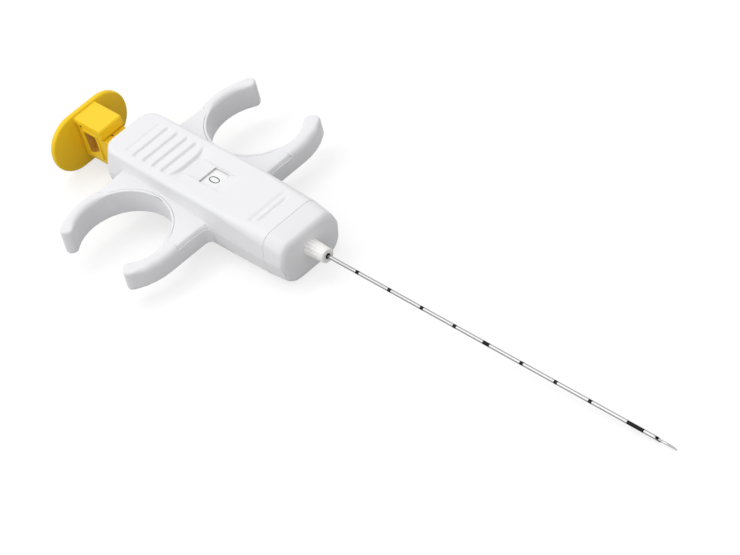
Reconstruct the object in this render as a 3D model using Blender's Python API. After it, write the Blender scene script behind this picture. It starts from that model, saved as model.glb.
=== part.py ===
"""Core biopsy instrument: a spring-fired needle in a two-shell handle with finger rests.

X runs along the needle towards its tip, Y across the finger rests and Z up out of the top face.
The origin lies on the flat belly of the handle. Heights are measured from the needle's axis, and
place() adds the height of that axis above the belly.
"""

import math

import bmesh
import bpy
from mathutils import Vector

MM = 0.001

# Clearances
GAP = 0.3 * MM
FIT = 0.1 * MM
RUN = 0.07 * MM

# Handle
NOSE_LENGTH = 5.8 * MM
GRIP_BACK = 8.0 * MM
RIDGE_END_X = 12.0 * MM
WALL = 1.3 * MM
AXIS_HEIGHT = 6.3 * MM
PARTING = 0.66 * MM

# Handle sections: half widths at the top edge, the parting line and the belly, heights of the
# top and the belly, and the radii of the top edge and the belly's edge
REAR_SECTION = (7.6 * MM, 9.5 * MM, 8.5 * MM, 6.2 * MM, 6.3 * MM, 1.1 * MM, 3.0 * MM)
GRIP_SECTION = (7.9 * MM, 9.1 * MM, 8.4 * MM, 6.05 * MM, 6.3 * MM, 1.1 * MM, 3.0 * MM)
RIDGE_SECTION = (7.95 * MM, 9.15 * MM, 8.45 * MM, 6.05 * MM, 6.3 * MM, 1.2 * MM, 3.2 * MM)
SEAM_SECTION = (8.05 * MM, 9.25 * MM, 8.4 * MM, 6.05 * MM, 6.3 * MM, 3.4 * MM, 3.7 * MM)
NOSE_SECTION = (7.35 * MM, 9.15 * MM, 7.75 * MM, 5.0 * MM, 6.3 * MM, 3.4 * MM, 4.0 * MM)
SIDE_ROUND = 3.0 * MM
REAR_CORNER = 3.8 * MM
REAR_EDGE = 0.7 * MM
NOSE_EDGE = 1.2 * MM

# Finger rests
RING_X = -6.7 * MM
RING_Y = 21.0 * MM
RING_INNER = 11.2 * MM
RING_OUTER = 14.3 * MM
FRONT_OUTER = 15.0 * MM
REAR_LINE = 13.3 * MM
REAR_TIP_ANGLE = 135.3
FRONT_TIP_ANGLE = 42.8
REST_DEPTH = 3.7 * MM
REST_TOP = 3.1 * MM
REST_TOP_X = -16.5 * MM
REST_SLOPE = -0.07
REST_ROUND = 1.4 * MM
REST_INNER_ROUND = 1.1 * MM
TIP_ROUND = 0.55 * MM
RIM_ROUND = 0.2 * MM
REST_LOW_ROUND = 0.7 * MM
TIP_CORNER = 1.3 * MM
ROOT_FILLET = 2.0 * MM
WEB_ROOT_Y = 4.0 * MM
RIM_WIDTH = 0.75 * MM
REAR_SEAM_STEP = 1.2 * MM
FRONT_SEAM_STEP = 0.9 * MM
KINK_ANGLE = 204.7
CROSS_SEAM_ANGLE = 340.7

# Top face: grip ribs, recess, window and front grooves
RIB_PITCH = 3.1 * MM
RIB_FRONT_X = -6.2 * MM
RIB_GROOVES = 5
RIB_HALF = 5.7 * MM
RIB_RAMP = 2.0 * MM
RIB_DEPTH = 0.5 * MM
RIB_FADE = 0.09 * MM
STEP_BOW = 2.2 * MM
STEP_RAMP = 3.2 * MM
RECESS_HALF = 3.7 * MM
RECESS_DEPTH = 0.6 * MM
RECESS_FRONT_X = 6.5 * MM
WINDOW_REAR_X = 0.2 * MM
WINDOW_LENGTH = 4.8 * MM
WINDOW_HALF = 2.76 * MM
LINE_GROOVES = ((20.3 * MM, 5.56 * MM), (22.0 * MM, 4.5 * MM))
LINE_GROOVE_RADIUS = 0.45 * MM
LINE_GROOVE_DEPTH = 0.3 * MM

# Needle: 20 gauge, 10 cm clear of the hub
HUB_LENGTH = 5.4 * MM
HUB_ROOT = 2.0 * MM
HUB_TIP = 1.62 * MM
HUB_FLUTE = 0.22 * MM
HUB_FLARE = 0.5 * MM
HUB_FLUTES = 10
HUB_BORE = 0.8 * MM
SPIGOT = 1.5 * MM
NEEDLE_LENGTH = 99.4 * MM
CANNULA_RADIUS = 0.45 * MM
CANNULA_WALL = 0.1 * MM
CANNULA_BEVEL = 1.6 * MM
STYLET_PROUD = 4.6 * MM
STYLET_BEVEL = 3.0 * MM
NOTCH_LENGTH = 18.5 * MM
NOTCH_BACK = 0.4 * MM

# Drive inside the handle
STROKE = 20.0 * MM
HALF_STROKE = 10.0 * MM
SPRING_RADIUS = 2.1 * MM
SPRING_WIRE = 0.32 * MM
SPRING_TURNS = 9
SEAT_THICK = 1.4 * MM
KEEPER_THICK = 1.0 * MM
TUBE_REACH = 7.5 * MM
TUBE_WALL = 0.3 * MM
CARRIAGE_REAR_X = 6.5 * MM
CARRIAGE_LENGTH = 8.0 * MM
CARRIAGE_HALF = 2.45 * MM
CARRIAGE_LOW = 2.6 * MM
BRIDGE_LOW = 2.5 * MM
BRIDGE_THICK = 1.2 * MM
STRIP_TAIL = 3.0 * MM
STRIP_MARGIN = 0.4 * MM
STRIP_HALF = 3.1 * MM
STRIP_THICK = 0.9 * MM
STRIP_GAP = 0.25 * MM
YOKE_LENGTH = 4.0 * MM
YOKE_HALF = 5.2 * MM
LEG_THICK = 0.6 * MM
LEG_LENGTH = 8.0 * MM
LEG_HALF_HEIGHT = 1.1 * MM
CHEEK_THICK = 1.0 * MM
BARB_LENGTH = 1.6 * MM
RAIL_Y = 5.9 * MM
RAIL_THICK = 0.6 * MM
RAIL_HALF_HEIGHT = 1.8 * MM
RAIL_TAIL = 1.3 * MM
RAIL_LEAD = 6.0 * MM
WASHER_THICK = 0.3 * MM
BUFFER_THICK = 1.3 * MM
BULKHEAD_THICK = 1.3 * MM
RUNNER_THICK = 0.8 * MM
RUNNER_HEIGHT = 1.4 * MM
LIP_LENGTH = 1.0 * MM
LIP_WALL = 0.8 * MM
NOSE_WALL = 1.5 * MM
FERRULE_RADIUS = 1.3 * MM
FERRULE_STOP = 1.5 * MM
FERRULE_SUNK = 0.3 * MM
CANNULA_SUNK = 0.7 * MM
BUSH_RADIUS = 2.0 * MM
BUSH_LENGTH = 2.8 * MM
BOSS_WALL = 1.0 * MM
PIN_RADIUS = 0.6 * MM
PIN_SPACE = 1.2 * MM

# Plunger
CHANNEL_HALF = 3.45 * MM
CHANNEL_WALL = 0.7 * MM
CHANNEL_LOW = 4.7 * MM
CHANNEL_FLOOR = 0.8 * MM
DOG_LENGTH = 1.4 * MM
DOG_HEIGHT = 1.0 * MM
PLUNGER_OUT = 14.8 * MM
PAD_THICK = 1.5 * MM
PAD_HALF = 11.3 * MM
PAD_HALF_HEIGHT = 7.5 * MM
PAD_CENTRE = -2.6 * MM
PAD_END_FLAT = 0.3 * MM
PAD_EDGE = 0.5 * MM
PAD_DISH = 0.5 * MM
HOOD_LENGTH = 9.1 * MM
HOOD_TOP = 4.35 * MM
HOOD_SKIRT = 1.25 * MM
HOOD_LOW = 1.6 * MM
HOOD_TOP_HALF = 3.45 * MM
HOOD_LOW_HALF = 3.7 * MM
HOOD_WALL = 0.8 * MM
HOOD_EDGE = 0.35 * MM
CORE_TOP_HALF = 3.2 * MM
CORE_LOW_HALF = 2.85 * MM
CORE_LOW = 7.3 * MM
CORE_EDGE = 0.4 * MM
POCKET_DEPTH = 2.4 * MM
POCKET_RIM = 0.25 * MM
POCKET_FRAME = 0.65 * MM
POCKET_REAR = 1.7 * MM
POCKET_FRONT = 2.0 * MM
POCKET_SILL = 1.4 * MM
POCKET_DROP = 1.1 * MM
POCKET_RISE = 2.0 * MM
HOLDER_RADIUS = 0.8 * MM
HOLDER_LENGTH = 4.1 * MM

# Places along X that follow from the sizes above. The handle is as long as the stroke of the
# drive asks: the number strip at one end and the latch at the other set where its walls stand
STRIP_REAR_X = WINDOW_REAR_X - STRIP_TAIL
STRIP_FRONT_X = WINDOW_REAR_X + WINDOW_LENGTH + STROKE + STRIP_MARGIN
SEAM_X = STRIP_FRONT_X + STRIP_MARGIN + LIP_LENGTH
NOSE_X = SEAM_X + NOSE_LENGTH
NOSE_WALL_X = NOSE_X - NOSE_WALL
HUB_X = NOSE_X + HUB_LENGTH
TIP_X = HUB_X + NEEDLE_LENGTH
CARRIAGE_FRONT_X = CARRIAGE_REAR_X + CARRIAGE_LENGTH
BULKHEAD_X = CARRIAGE_FRONT_X + BUFFER_THICK + 2 * GAP
BARB_REAR_X = CARRIAGE_REAR_X - LEG_LENGTH
RAIL_REAR_X = BARB_REAR_X - STROKE - RAIL_TAIL
SEAT_X = RAIL_REAR_X - SEAT_THICK - GAP - FIT
PIN_X = SEAT_X + SEAT_THICK + PIN_SPACE
REAR_X = SEAT_X - GAP - KEEPER_THICK - WALL
PAD_FRONT_X = REAR_X - PLUNGER_OUT
HOOD_FRONT_X = PAD_FRONT_X + HOOD_LENGTH
HOOD_INNER_X = HOOD_FRONT_X - HOOD_WALL
CORE_FRONT_X = REAR_X - GAP
CHANNEL_FRONT_X = CARRIAGE_FRONT_X + GAP

# Heights and half widths that follow from the sizes above
BRIDGE_TOP = BRIDGE_LOW + BRIDGE_THICK
STRIP_TOP = BRIDGE_TOP + GAP + STRIP_THICK
CHANNEL_TOP = PARTING - GAP
CHANNEL_INNER = CHANNEL_HALF - CHANNEL_WALL
CHANNEL_FLOOR_TOP = -CHANNEL_LOW + CHANNEL_FLOOR
OPENING_HALF = CHANNEL_HALF + GAP
PAD_CORNER = PAD_HALF_HEIGHT - PAD_END_FLAT
HOOD_SIDE_LOW = HOOD_TOP - HOOD_SKIRT
STYLET_RADIUS = CANNULA_RADIUS - CANNULA_WALL - RUN
TUBE_RADIUS = CANNULA_RADIUS + TUBE_WALL
INNER_FLOOR = -(AXIS_HEIGHT - WALL)

# Finishes: colour, roughness, metallic
FINISHES = {
    "white_plastic": ((0.86, 0.86, 0.87), 0.42, 0.0),
    "hub_plastic": ((0.90, 0.90, 0.90), 0.45, 0.0),
    "yellow_plastic": ((0.93, 0.66, 0.03), 0.38, 0.0),
    "natural_plastic": ((0.80, 0.80, 0.76), 0.5, 0.0),
    "label_white": ((0.95, 0.95, 0.95), 0.6, 0.0),
    "steel": ((0.72, 0.73, 0.74), 0.25, 1.0),
    "spring_steel": ((0.45, 0.46, 0.48), 0.35, 1.0),
    "rubber": ((0.08, 0.08, 0.09), 0.8, 0.0),
}


def clear_scene():
    """Remove every object that the scene holds."""
    for item in list(bpy.data.objects):
        bpy.data.objects.remove(item, do_unlink=True)


def finish(name):
    """Return the material of that name, made on first use."""
    material = bpy.data.materials.get(name)
    if material is None:
        colour, roughness, metallic = FINISHES[name]
        material = bpy.data.materials.new(name)
        material.use_nodes = True
        shader = material.node_tree.nodes["Principled BSDF"]
        shader.inputs["Base Color"].default_value = (*colour, 1.0)
        shader.inputs["Roughness"].default_value = roughness
        shader.inputs["Metallic"].default_value = metallic
        material.diffuse_color = (*colour, 1.0)
    return material


def place(x, y, z):
    """Turn a point measured from the needle's axis into a point of the part."""
    return Vector((x, y, z + AXIS_HEIGHT))


def new_object(name, mesh_builder):
    """Make an object from a bmesh, with its faces pointing out."""
    bmesh.ops.remove_doubles(mesh_builder, verts=mesh_builder.verts, dist=1e-7)
    bmesh.ops.recalc_face_normals(mesh_builder, faces=mesh_builder.faces)
    mesh = bpy.data.meshes.new(name)
    mesh_builder.to_mesh(mesh)
    mesh_builder.free()
    item = bpy.data.objects.new(name, mesh)
    bpy.context.collection.objects.link(item)
    return item


def complete(item, finish_name, angle=35.0):
    """Give a finished piece its material and its shading."""
    item.data.materials.clear()
    item.data.materials.append(finish(finish_name))
    item.data.shade_smooth()
    item.data.set_sharp_from_angle(angle=math.radians(angle))
    return item


def combine(item, tool, operation):
    """Apply a Boolean of a tool to a piece and remove the tool."""
    modifier = item.modifiers.new(operation.lower(), "BOOLEAN")
    modifier.operation = operation
    modifier.solver = "EXACT"
    modifier.object = tool
    graph = bpy.context.evaluated_depsgraph_get()
    mesh = bpy.data.meshes.new_from_object(item.evaluated_get(graph))
    item.modifiers.clear()
    item.data = mesh
    mesh.name = item.name
    bpy.data.objects.remove(tool, do_unlink=True)
    return item


def add(item, tool):
    """Join a tool to a piece."""
    return combine(item, tool, "UNION")


def cut(item, tool):
    """Cut a tool from a piece."""
    return combine(item, tool, "DIFFERENCE")


def closed_loop(builder, points):
    """A closed loop of edges through points."""
    verts = [builder.verts.new(point) for point in points]
    return verts, [builder.edges.new(pair) for pair in zip(verts, verts[1:] + verts[:1])]


def loft(name, rings):
    """A solid whose skin bridges rings of points, with a flat face at each end."""
    builder = bmesh.new()
    loops = [closed_loop(builder, ring) for ring in rings]
    for (_, lower), (_, upper) in zip(loops, loops[1:]):
        bmesh.ops.bridge_loops(builder, edges=lower + upper)
    for verts, _ in (loops[0], loops[-1]):
        builder.faces.new(verts)
    return new_object(name, builder)


def block(name, x_span, y_span, z_span):
    """A rectangular block between two places on each axis."""
    low, high = (place(*corner) for corner in zip(x_span, y_span, z_span))
    size = high - low
    builder = bmesh.new()
    bmesh.ops.create_cube(builder, size=1.0)
    bmesh.ops.scale(builder, vec=size, verts=builder.verts)
    bmesh.ops.translate(builder, vec=(low + high) / 2, verts=builder.verts)
    return new_object(name, builder)


def arc(centre, radius, start, end, steps):
    """Points along an arc in a plane, with angles in degrees."""
    points = []
    for i in range(steps + 1):
        angle = math.radians(start + (end - start) * i / steps)
        points.append((centre[0] + radius * math.cos(angle), centre[1] + radius * math.sin(angle)))
    return points


def rounded(corners, radii, steps):
    """An outline with each corner rounded to its own radius."""
    points = []
    count = len(corners)
    for i, (corner, radius) in enumerate(zip(corners, radii)):
        here = Vector(corner)
        if radius == 0:
            points.append(tuple(here))
            continue
        back = (Vector(corners[i - 1]) - here).normalized()
        ahead = (Vector(corners[(i + 1) % count]) - here).normalized()
        half = back.angle(ahead) / 2
        reach = radius / math.tan(half)
        centre = here + (back + ahead).normalized() * radius / math.sin(half)
        first = here + back * reach - centre
        last = here + ahead * reach - centre
        for k in range(steps[i] + 1):
            spoke = first.slerp(last, k / steps[i]).normalized()
            points.append(tuple(centre + spoke * radius))
    return points


def prism(name, outline, span, along):
    """A solid with one outline, run along an axis between two places.

    Along Z the outline is in X and Y, along Y in X and Z, and along X in Y and Z.
    """
    start, end = span
    axis = "XYZ".index(along)
    points = []
    for u, v in outline:
        spot = [u, v]
        spot.insert(axis, start)
        points.append(place(*spot))
    step = Vector((0, 0, 0))
    step[axis] = end - start
    builder = bmesh.new()
    face = builder.faces.new([builder.verts.new(point) for point in points])
    grown = bmesh.ops.extrude_face_region(builder, geom=[face], use_keep_orig=True)
    moved = [item for item in grown["geom"] if isinstance(item, bmesh.types.BMVert)]
    bmesh.ops.translate(builder, vec=step, verts=moved)
    return new_object(name, builder)


def slab(name, outline, low, high, low_round, high_rounds, turn):
    """A plate with rounded rims between two surfaces.

    The outline runs anticlockwise. The rim of the low side has one radius, and the rim of the
    high side has one for each point of the outline.
    """
    count = len(outline)
    inward = []
    for i in range(count):
        before = Vector(outline[i]) - Vector(outline[i - 1])
        after = Vector(outline[(i + 1) % count]) - Vector(outline[i])
        along = (before.normalized() + after.normalized()).normalized()
        inward.append(Vector((-along.y, along.x)))

    def ring(surface, sign, radii, turn_angle):
        points = []
        for spot, direction, radius in zip(outline, inward, radii):
            u, v = Vector(spot) + direction * radius * (1 - math.cos(turn_angle))
            w = surface(u, v) + sign * radius * (1 - math.sin(turn_angle))
            points.append(turn(u, v, w))
        return points

    low_radii = [low_round] * count
    quarter = math.pi / 2
    rings = [ring(low, 1, low_radii, quarter * (2 - k) / 2) for k in range(3)]
    rings += [ring(high, -1, high_rounds, quarter * k / 3) for k in range(4)]
    return loft(name, rings)


def turned(name, profile, sides=16):
    """A ring spun about the needle's axis from a closed profile of X and radius."""
    builder = bmesh.new()
    half_side = math.pi / sides
    points = [place(x, r * math.cos(half_side), r * math.sin(half_side)) for x, r in profile]
    verts, edges = closed_loop(builder, points)
    bmesh.ops.spin(
        builder,
        geom=verts + edges,
        cent=place(0, 0, 0),
        axis=(1, 0, 0),
        angle=2 * math.pi,
        steps=sides,
        use_merge=True,
    )
    return new_object(name, builder)


def tube(name, x_span, inner, outer, sides=16):
    """A plain round sleeve about the needle's axis."""
    profile = [(x_span[0], inner), (x_span[1], inner), (x_span[1], outer), (x_span[0], outer)]
    return turned(name, profile, sides)


def rod(name, x_span, radius, sides=16):
    """A solid round bar about the needle's axis."""
    circle = arc((0, 0), radius, 180 / sides, 360 + 180 / sides, sides)[:-1]
    return prism(name, circle, x_span, "X")


def section_sizes(x):
    """Sizes of the handle's cross-section at a place along X."""
    frames = (
        (REAR_X, REAR_SECTION),
        (-GRIP_BACK, GRIP_SECTION),
        (RIDGE_END_X, RIDGE_SECTION),
        (SEAM_X, SEAM_SECTION),
        (NOSE_X, NOSE_SECTION),
    )
    for (x0, first), (x1, second) in zip(frames, frames[1:]):
        if x <= x1 or x1 == NOSE_X:
            share = min(max((x - x0) / (x1 - x0), 0.0), 1.0)
            return [a + (b - a) * share for a, b in zip(first, second)]


def section(x, inset_y=0.0, inset_z=0.0, shrink=0.0):
    """One ring of the handle's skin, drawn in by the insets."""
    top_half, side_half, low_half, top, low, top_round, belly_round = section_sizes(x)
    top, low = top - inset_z, -(low - inset_z)
    halves = [half - inset_y for half in (top_half, side_half, low_half)]
    right = [(halves[2], low), (halves[1], PARTING - GAP), (halves[0], top)]
    left = [(-y, z) for y, z in reversed(right)]
    radii = [belly_round - shrink, SIDE_ROUND, top_round - min(shrink, 0.8 * top_round)]
    radii += radii[::-1]
    outline = rounded(right + left, radii, (5, 2, 5, 5, 2, 5))
    return [place(x, y, z) for y, z in outline]


def round_over(radius, steps):
    """Depths from an end face, each with the inset of a quarter round there."""
    pairs = []
    for k in range(steps + 1):
        angle = math.pi / 2 * k / steps
        pairs.append((radius * (1 - math.cos(angle)), radius * (1 - math.sin(angle))))
    return pairs


def handle_skin(name):
    """The outside of the two shells, without the finger rests."""
    rings = []
    for depth, inset in round_over(REAR_CORNER, 5):
        edge = max(REAR_EDGE - depth, 0.0)
        inset_z = REAR_EDGE - math.sqrt(max(REAR_EDGE ** 2 - edge ** 2, 0.0))
        rings.append(section(REAR_X + depth, inset, inset_z))
    rings += [section(x) for x in (-GRIP_BACK, RIDGE_END_X, SEAM_X - GAP / 2)]
    return loft(name, rings)


def handle_cavity(name, front_x):
    """The hollow inside the two shells, open to the front."""
    rings = []
    for depth, inset in round_over(REAR_CORNER - WALL, 3):
        rings.append(section(REAR_X + WALL + depth, WALL + inset, WALL, WALL))
    rings += [section(x, WALL, WALL, WALL) for x in (-GRIP_BACK, RIDGE_END_X, front_x)]
    return loft(name, rings)


def rest_top(x, y):
    """Height of the sloped top of the finger rests."""
    return REST_TOP + (x - REST_TOP_X) * REST_SLOPE


def rest_outline():
    """Plan of one finger rest with its web, and the rounding of its top rim at each point."""
    centre = (RING_X, RING_Y)
    rear_x = RING_X - REAR_LINE
    front_x = RING_X + FRONT_OUTER
    rear_angle = 180 + math.degrees(math.acos(REAR_LINE / RING_OUTER))
    inner = arc(centre, RING_INNER, REAR_TIP_ANGLE, 360 + FRONT_TIP_ANGLE, 30)
    outer_front = arc(centre, FRONT_OUTER, FRONT_TIP_ANGLE, 0, 5)
    outer_rear = arc(centre, RING_OUTER, rear_angle, REAR_TIP_ANGLE, 8)
    root_end_x = front_x + 3 * ROOT_FILLET
    side_y = GRIP_SECTION[1]
    corners = [(rear_x, WEB_ROOT_Y)] + outer_rear + inner + outer_front
    corners += [(front_x, side_y), (root_end_x, side_y - MM), (root_end_x, WEB_ROOT_Y)]
    radii = [0.0] * len(corners)
    first_inner = 1 + len(outer_rear)
    last_inner = first_inner + len(inner) - 1
    for index in (first_inner - 1, first_inner, last_inner, last_inner + 1):
        radii[index] = TIP_CORNER
    radii[-3] = ROOT_FILLET
    steps = [4] * len(corners)
    outline = rounded(corners, radii, steps)[::-1]
    return outline, [rest_rounding(x, y) for x, y in outline]


def rest_rounding(x, y):
    """Radius of a finger rest's top rim at a point of its plan."""
    angle = math.degrees(math.atan2(y - RING_Y, x - RING_X)) % 360
    from_tip = min(abs(angle - FRONT_TIP_ANGLE), abs(angle - REAR_TIP_ANGLE))
    share = min(max((from_tip - 8.0) / 14.0, 0.0), 1.0)
    if y < RING_Y - RING_OUTER:
        return RIM_ROUND
    if math.hypot(x - RING_X, y - RING_Y) > RING_INNER + 0.01 * MM:
        return TIP_ROUND + (REST_ROUND - TIP_ROUND) * share
    if KINK_ANGLE < angle < CROSS_SEAM_ANGLE:
        return RIM_ROUND
    full = TIP_ROUND + (REST_INNER_ROUND - TIP_ROUND) * share
    share = min(abs(angle - KINK_ANGLE), abs(angle - CROSS_SEAM_ANGLE), 15.0) / 15.0
    return RIM_ROUND + (full - RIM_ROUND) * share


def finger_rest(name, side):
    """One C-shaped finger rest with its web, on the side given by a sign."""
    outline, rounds = rest_outline()
    if side < 0:
        outline = [(x, -y) for x, y in reversed(outline)]
        rounds = rounds[::-1]

    def underside(x, y):
        return -REST_DEPTH

    return slab(name, outline, underside, rest_top, REST_LOW_ROUND, rounds, place)


def whole_form(name):
    """Outside of both shells together."""
    form = handle_skin(name)
    for side in (1, -1):
        add(form, finger_rest("rest", side))
    return form


def seam_zone(name, grow):
    """Everything that belongs to the upper shell, grown or shrunk by part of the seam's gap."""
    wide = GRIP_SECTION[1] + 2 * MM
    front_x = RING_X + FRONT_OUTER + MM
    rear_x = RING_X - REAR_LINE - MM
    centre = (RING_X, RING_Y)
    rim = arc(centre, RING_INNER + RIM_WIDTH - grow, CROSS_SEAM_ANGLE, KINK_ANGLE, 22)
    half = [(NOSE_X, wide), (front_x, wide), (front_x, rim[0][1] + grow + FRONT_SEAM_STEP)]
    half += rim
    half += [(rear_x, rim[-1][1] + grow + REAR_SEAM_STEP), (rear_x, wide)]
    half += [(REAR_X - 2 * MM, wide)]
    outline = half + [(x, -y) for x, y in reversed(half)]
    return prism(name, outline, (PARTING - grow, 4 * PARTING + GRIP_SECTION[3]), "Z")


def capsule_groove(name, x, half, radius, depth, top):
    """A long round-ended tool that cuts a groove across the top face."""
    straight = half - math.sqrt(radius ** 2 - (radius - depth) ** 2)
    low = top - depth
    rings = []
    for end in (-1, 1):
        for k in (range(1, 4) if end < 0 else range(3, 0, -1)):
            angle = math.pi / 2 * k / 3
            size = radius * math.sin(angle)
            y = end * (straight + radius * math.cos(angle))
            circle = arc((x, low + radius), size, 15, 375, 12)[:-1]
            rings.append([place(u, y, v) for u, v in circle])
    return loft(name, rings)


def rib_groove(name, x, depth, top):
    """Tool for one grip rib: a steep wall toward the front, then a ramp up to the next rib."""
    profile = ((-0.05, 0.3), (0.05, -0.7), (0.15, -1.0), (0.45, -0.75), (1.05, 0.3))
    rings = []
    for end in (-1, 1):
        for k in (range(1, 4) if end < 0 else range(3, 0, -1)):
            angle = math.pi / 2 * k / 3
            y = end * (RIB_HALF - RIB_RAMP / 2 * (1 - math.cos(angle)))
            size = depth * math.sin(angle)
            rings.append([place(x + u * RIB_RAMP, y, top + v * size) for u, v in profile])
    return loft(name, rings)


def rib_step(name, top):
    """Tool for the bowed step in front of the last rib, deepest in the middle."""
    rings = []
    for k in range(-6, 7):
        across = math.sin(math.pi / 2 * k / 6)
        depth = RECESS_DEPTH * max(1 - across ** 4, 0.03)
        x = RIB_FRONT_X - STEP_BOW * across ** 4
        front = x + STEP_RAMP * (1 - 0.5 * across ** 2)
        ring = [(x, top + depth), (x + 0.4 * depth, top - depth)]
        ring += [((x + front) / 2, top - 0.8 * depth), (front, top + 0.3 * depth)]
        rings.append([place(u, across * RIB_HALF, v) for u, v in ring])
    return loft(name, rings)


def plunger_opening(name):
    """The hole in the rear wall through which the plunger runs."""
    x_span = (REAR_X - MM, REAR_X + 2 * WALL)
    z_span = (-(CHANNEL_LOW + GAP), CHANNEL_TOP + GAP)
    return block(name, x_span, (-OPENING_HALF, OPENING_HALF), z_span)


def make_upper_shell():
    """Top half of the handle: grip ribs, recess, window and the webs of the finger rests."""
    shell = whole_form("upper_shell")
    combine(shell, seam_zone("zone", -GAP / 2), "INTERSECT")
    cut(shell, handle_cavity("cavity", SEAM_X + MM))
    top = GRIP_SECTION[3]
    for k in range(RIB_GROOVES):
        x = RIB_FRONT_X - RIB_PITCH * (k + 0.95)
        crown = section_sizes(x)[3]
        cut(shell, rib_groove("groove", x, RIB_DEPTH - RIB_FADE * k, crown))
    cut(shell, rib_step("step", top))
    recess_rear = RIB_FRONT_X + RECESS_DEPTH
    recess = [
        (recess_rear, top + MM),
        (recess_rear, top - 0.75 * RECESS_DEPTH),
        (WINDOW_REAR_X, top - RECESS_DEPTH),
        (WINDOW_REAR_X + WINDOW_LENGTH, top - 0.3 * RECESS_DEPTH),
        (RECESS_FRONT_X, top),
        (RECESS_FRONT_X, top + MM),
    ]
    cut(shell, prism("recess", recess, (-RECESS_HALF, RECESS_HALF), "Y"))
    window_x = (WINDOW_REAR_X, WINDOW_REAR_X + WINDOW_LENGTH)
    cut(shell, block("window", window_x, (-WINDOW_HALF, WINDOW_HALF), (top - 2 * WALL, top + MM)))
    for x, half in LINE_GROOVES:
        cut(shell, capsule_groove("line", x, half, LINE_GROOVE_RADIUS, LINE_GROOVE_DEPTH, top))
    way_x = (STRIP_REAR_X - STROKE - GAP, SEAM_X + MM)
    way_half = STRIP_HALF + GAP
    cut(shell, block("strip_way", way_x, (-way_half, way_half), (0.0, STRIP_TOP + STRIP_GAP)))
    keeper_z = (BRIDGE_LOW + GAP + FIT, top - 0.5 * WALL)
    for side in (1, -1):
        y_span = sorted((side * (YOKE_HALF - MM), side * (YOKE_HALF + MM)))
        for x in (SEAT_X - GAP - KEEPER_THICK, SEAT_X + SEAT_THICK + GAP):
            add(shell, block("keeper", (x, x + KEEPER_THICK), y_span, keeper_z))
    return complete(shell, "white_plastic")


def make_lower_shell():
    """Bottom half of the handle with both finger rests, its bulkhead, runners and rail posts."""
    shell = whole_form("lower_shell")
    cut(shell, seam_zone("zone", GAP / 2))
    cut(shell, handle_cavity("cavity", SEAM_X + MM))
    sunk = INNER_FLOOR - 0.5 * WALL
    add(shell, bulkhead())
    for side in (1, -1):
        runner = sorted((side * OPENING_HALF, side * (OPENING_HALF + RUNNER_THICK)))
        runner_x = (REAR_X + 2 * WALL + MM, CHANNEL_FRONT_X - MM)
        add(shell, block("runner", runner_x, runner, (sunk, INNER_FLOOR + RUNNER_HEIGHT)))
        post = sorted((side * (RAIL_Y - GAP), side * (RAIL_Y + RAIL_THICK + GAP)))
        add(shell, block("post", rail_span(), post, (sunk, -RAIL_HALF_HEIGHT - GAP)))
    cut(shell, plunger_opening("opening"))
    hole = arc((PIN_X, 0), PIN_RADIUS + FIT, 0, 360, 12)[:-1]
    cut(shell, prism("pin_hole", hole, (sunk, INNER_FLOOR + MM), "Z"))
    return complete(shell, "white_plastic")


def bulkhead():
    """Wall across the lower shell that stops the carriage, with a hole for the needle."""
    x_span = (BULKHEAD_X, BULKHEAD_X + BULKHEAD_THICK)
    inset = 0.5 * WALL
    wall = loft("bulkhead", [section(x, inset, inset, inset) for x in x_span])
    wide = (-2 * GRIP_SECTION[1], 2 * GRIP_SECTION[1])
    across = (BULKHEAD_X - MM, BULKHEAD_X + BULKHEAD_THICK + MM)
    cut(wall, block("above", across, wide, (PARTING - GAP, 2 * GRIP_SECTION[3])))
    top_half = GRIP_SECTION[0] - 2 * WALL
    add(wall, block("middle", x_span, (-top_half, top_half), (-MM, BRIDGE_LOW - GAP)))
    return cut(wall, rod("needle_way", across, 2 * CANNULA_RADIUS))


def make_nose_cap():
    """Front cap: rounded nose face, lip that plugs the shells and boss for the front bush."""
    rings = [section(SEAM_X + GAP / 2)]
    for depth, inset in reversed(round_over(NOSE_EDGE, 3)):
        rings.append(section(NOSE_X - depth, inset, inset))
    cap = loft("nose_cap", rings)
    lip_inset = WALL + GAP
    lip_x = (SEAM_X - LIP_LENGTH, SEAM_X + WALL)
    add(cap, loft("lip", [section(x, lip_inset, lip_inset, WALL) for x in lip_x]))
    hollow_inset = lip_inset + LIP_WALL
    hollow_x = (SEAM_X - 2 * LIP_LENGTH, NOSE_WALL_X)
    cut(cap, loft("hollow", [section(x, hollow_inset, hollow_inset, WALL) for x in hollow_x]))
    boss_x = NOSE_WALL_X - BUSH_LENGTH
    boss_radius = BUSH_RADIUS + FIT + BOSS_WALL
    add(cap, rod("boss", (boss_x, NOSE_WALL_X + 0.5 * WALL), boss_radius, 20))
    cut(cap, rod("bush_seat", (boss_x - MM, NOSE_WALL_X), BUSH_RADIUS + FIT, 20))
    cut(cap, rod("spigot_hole", (NOSE_WALL_X - MM, NOSE_X + MM), SPIGOT + FIT, 20))
    return complete(cap, "white_plastic")


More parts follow.
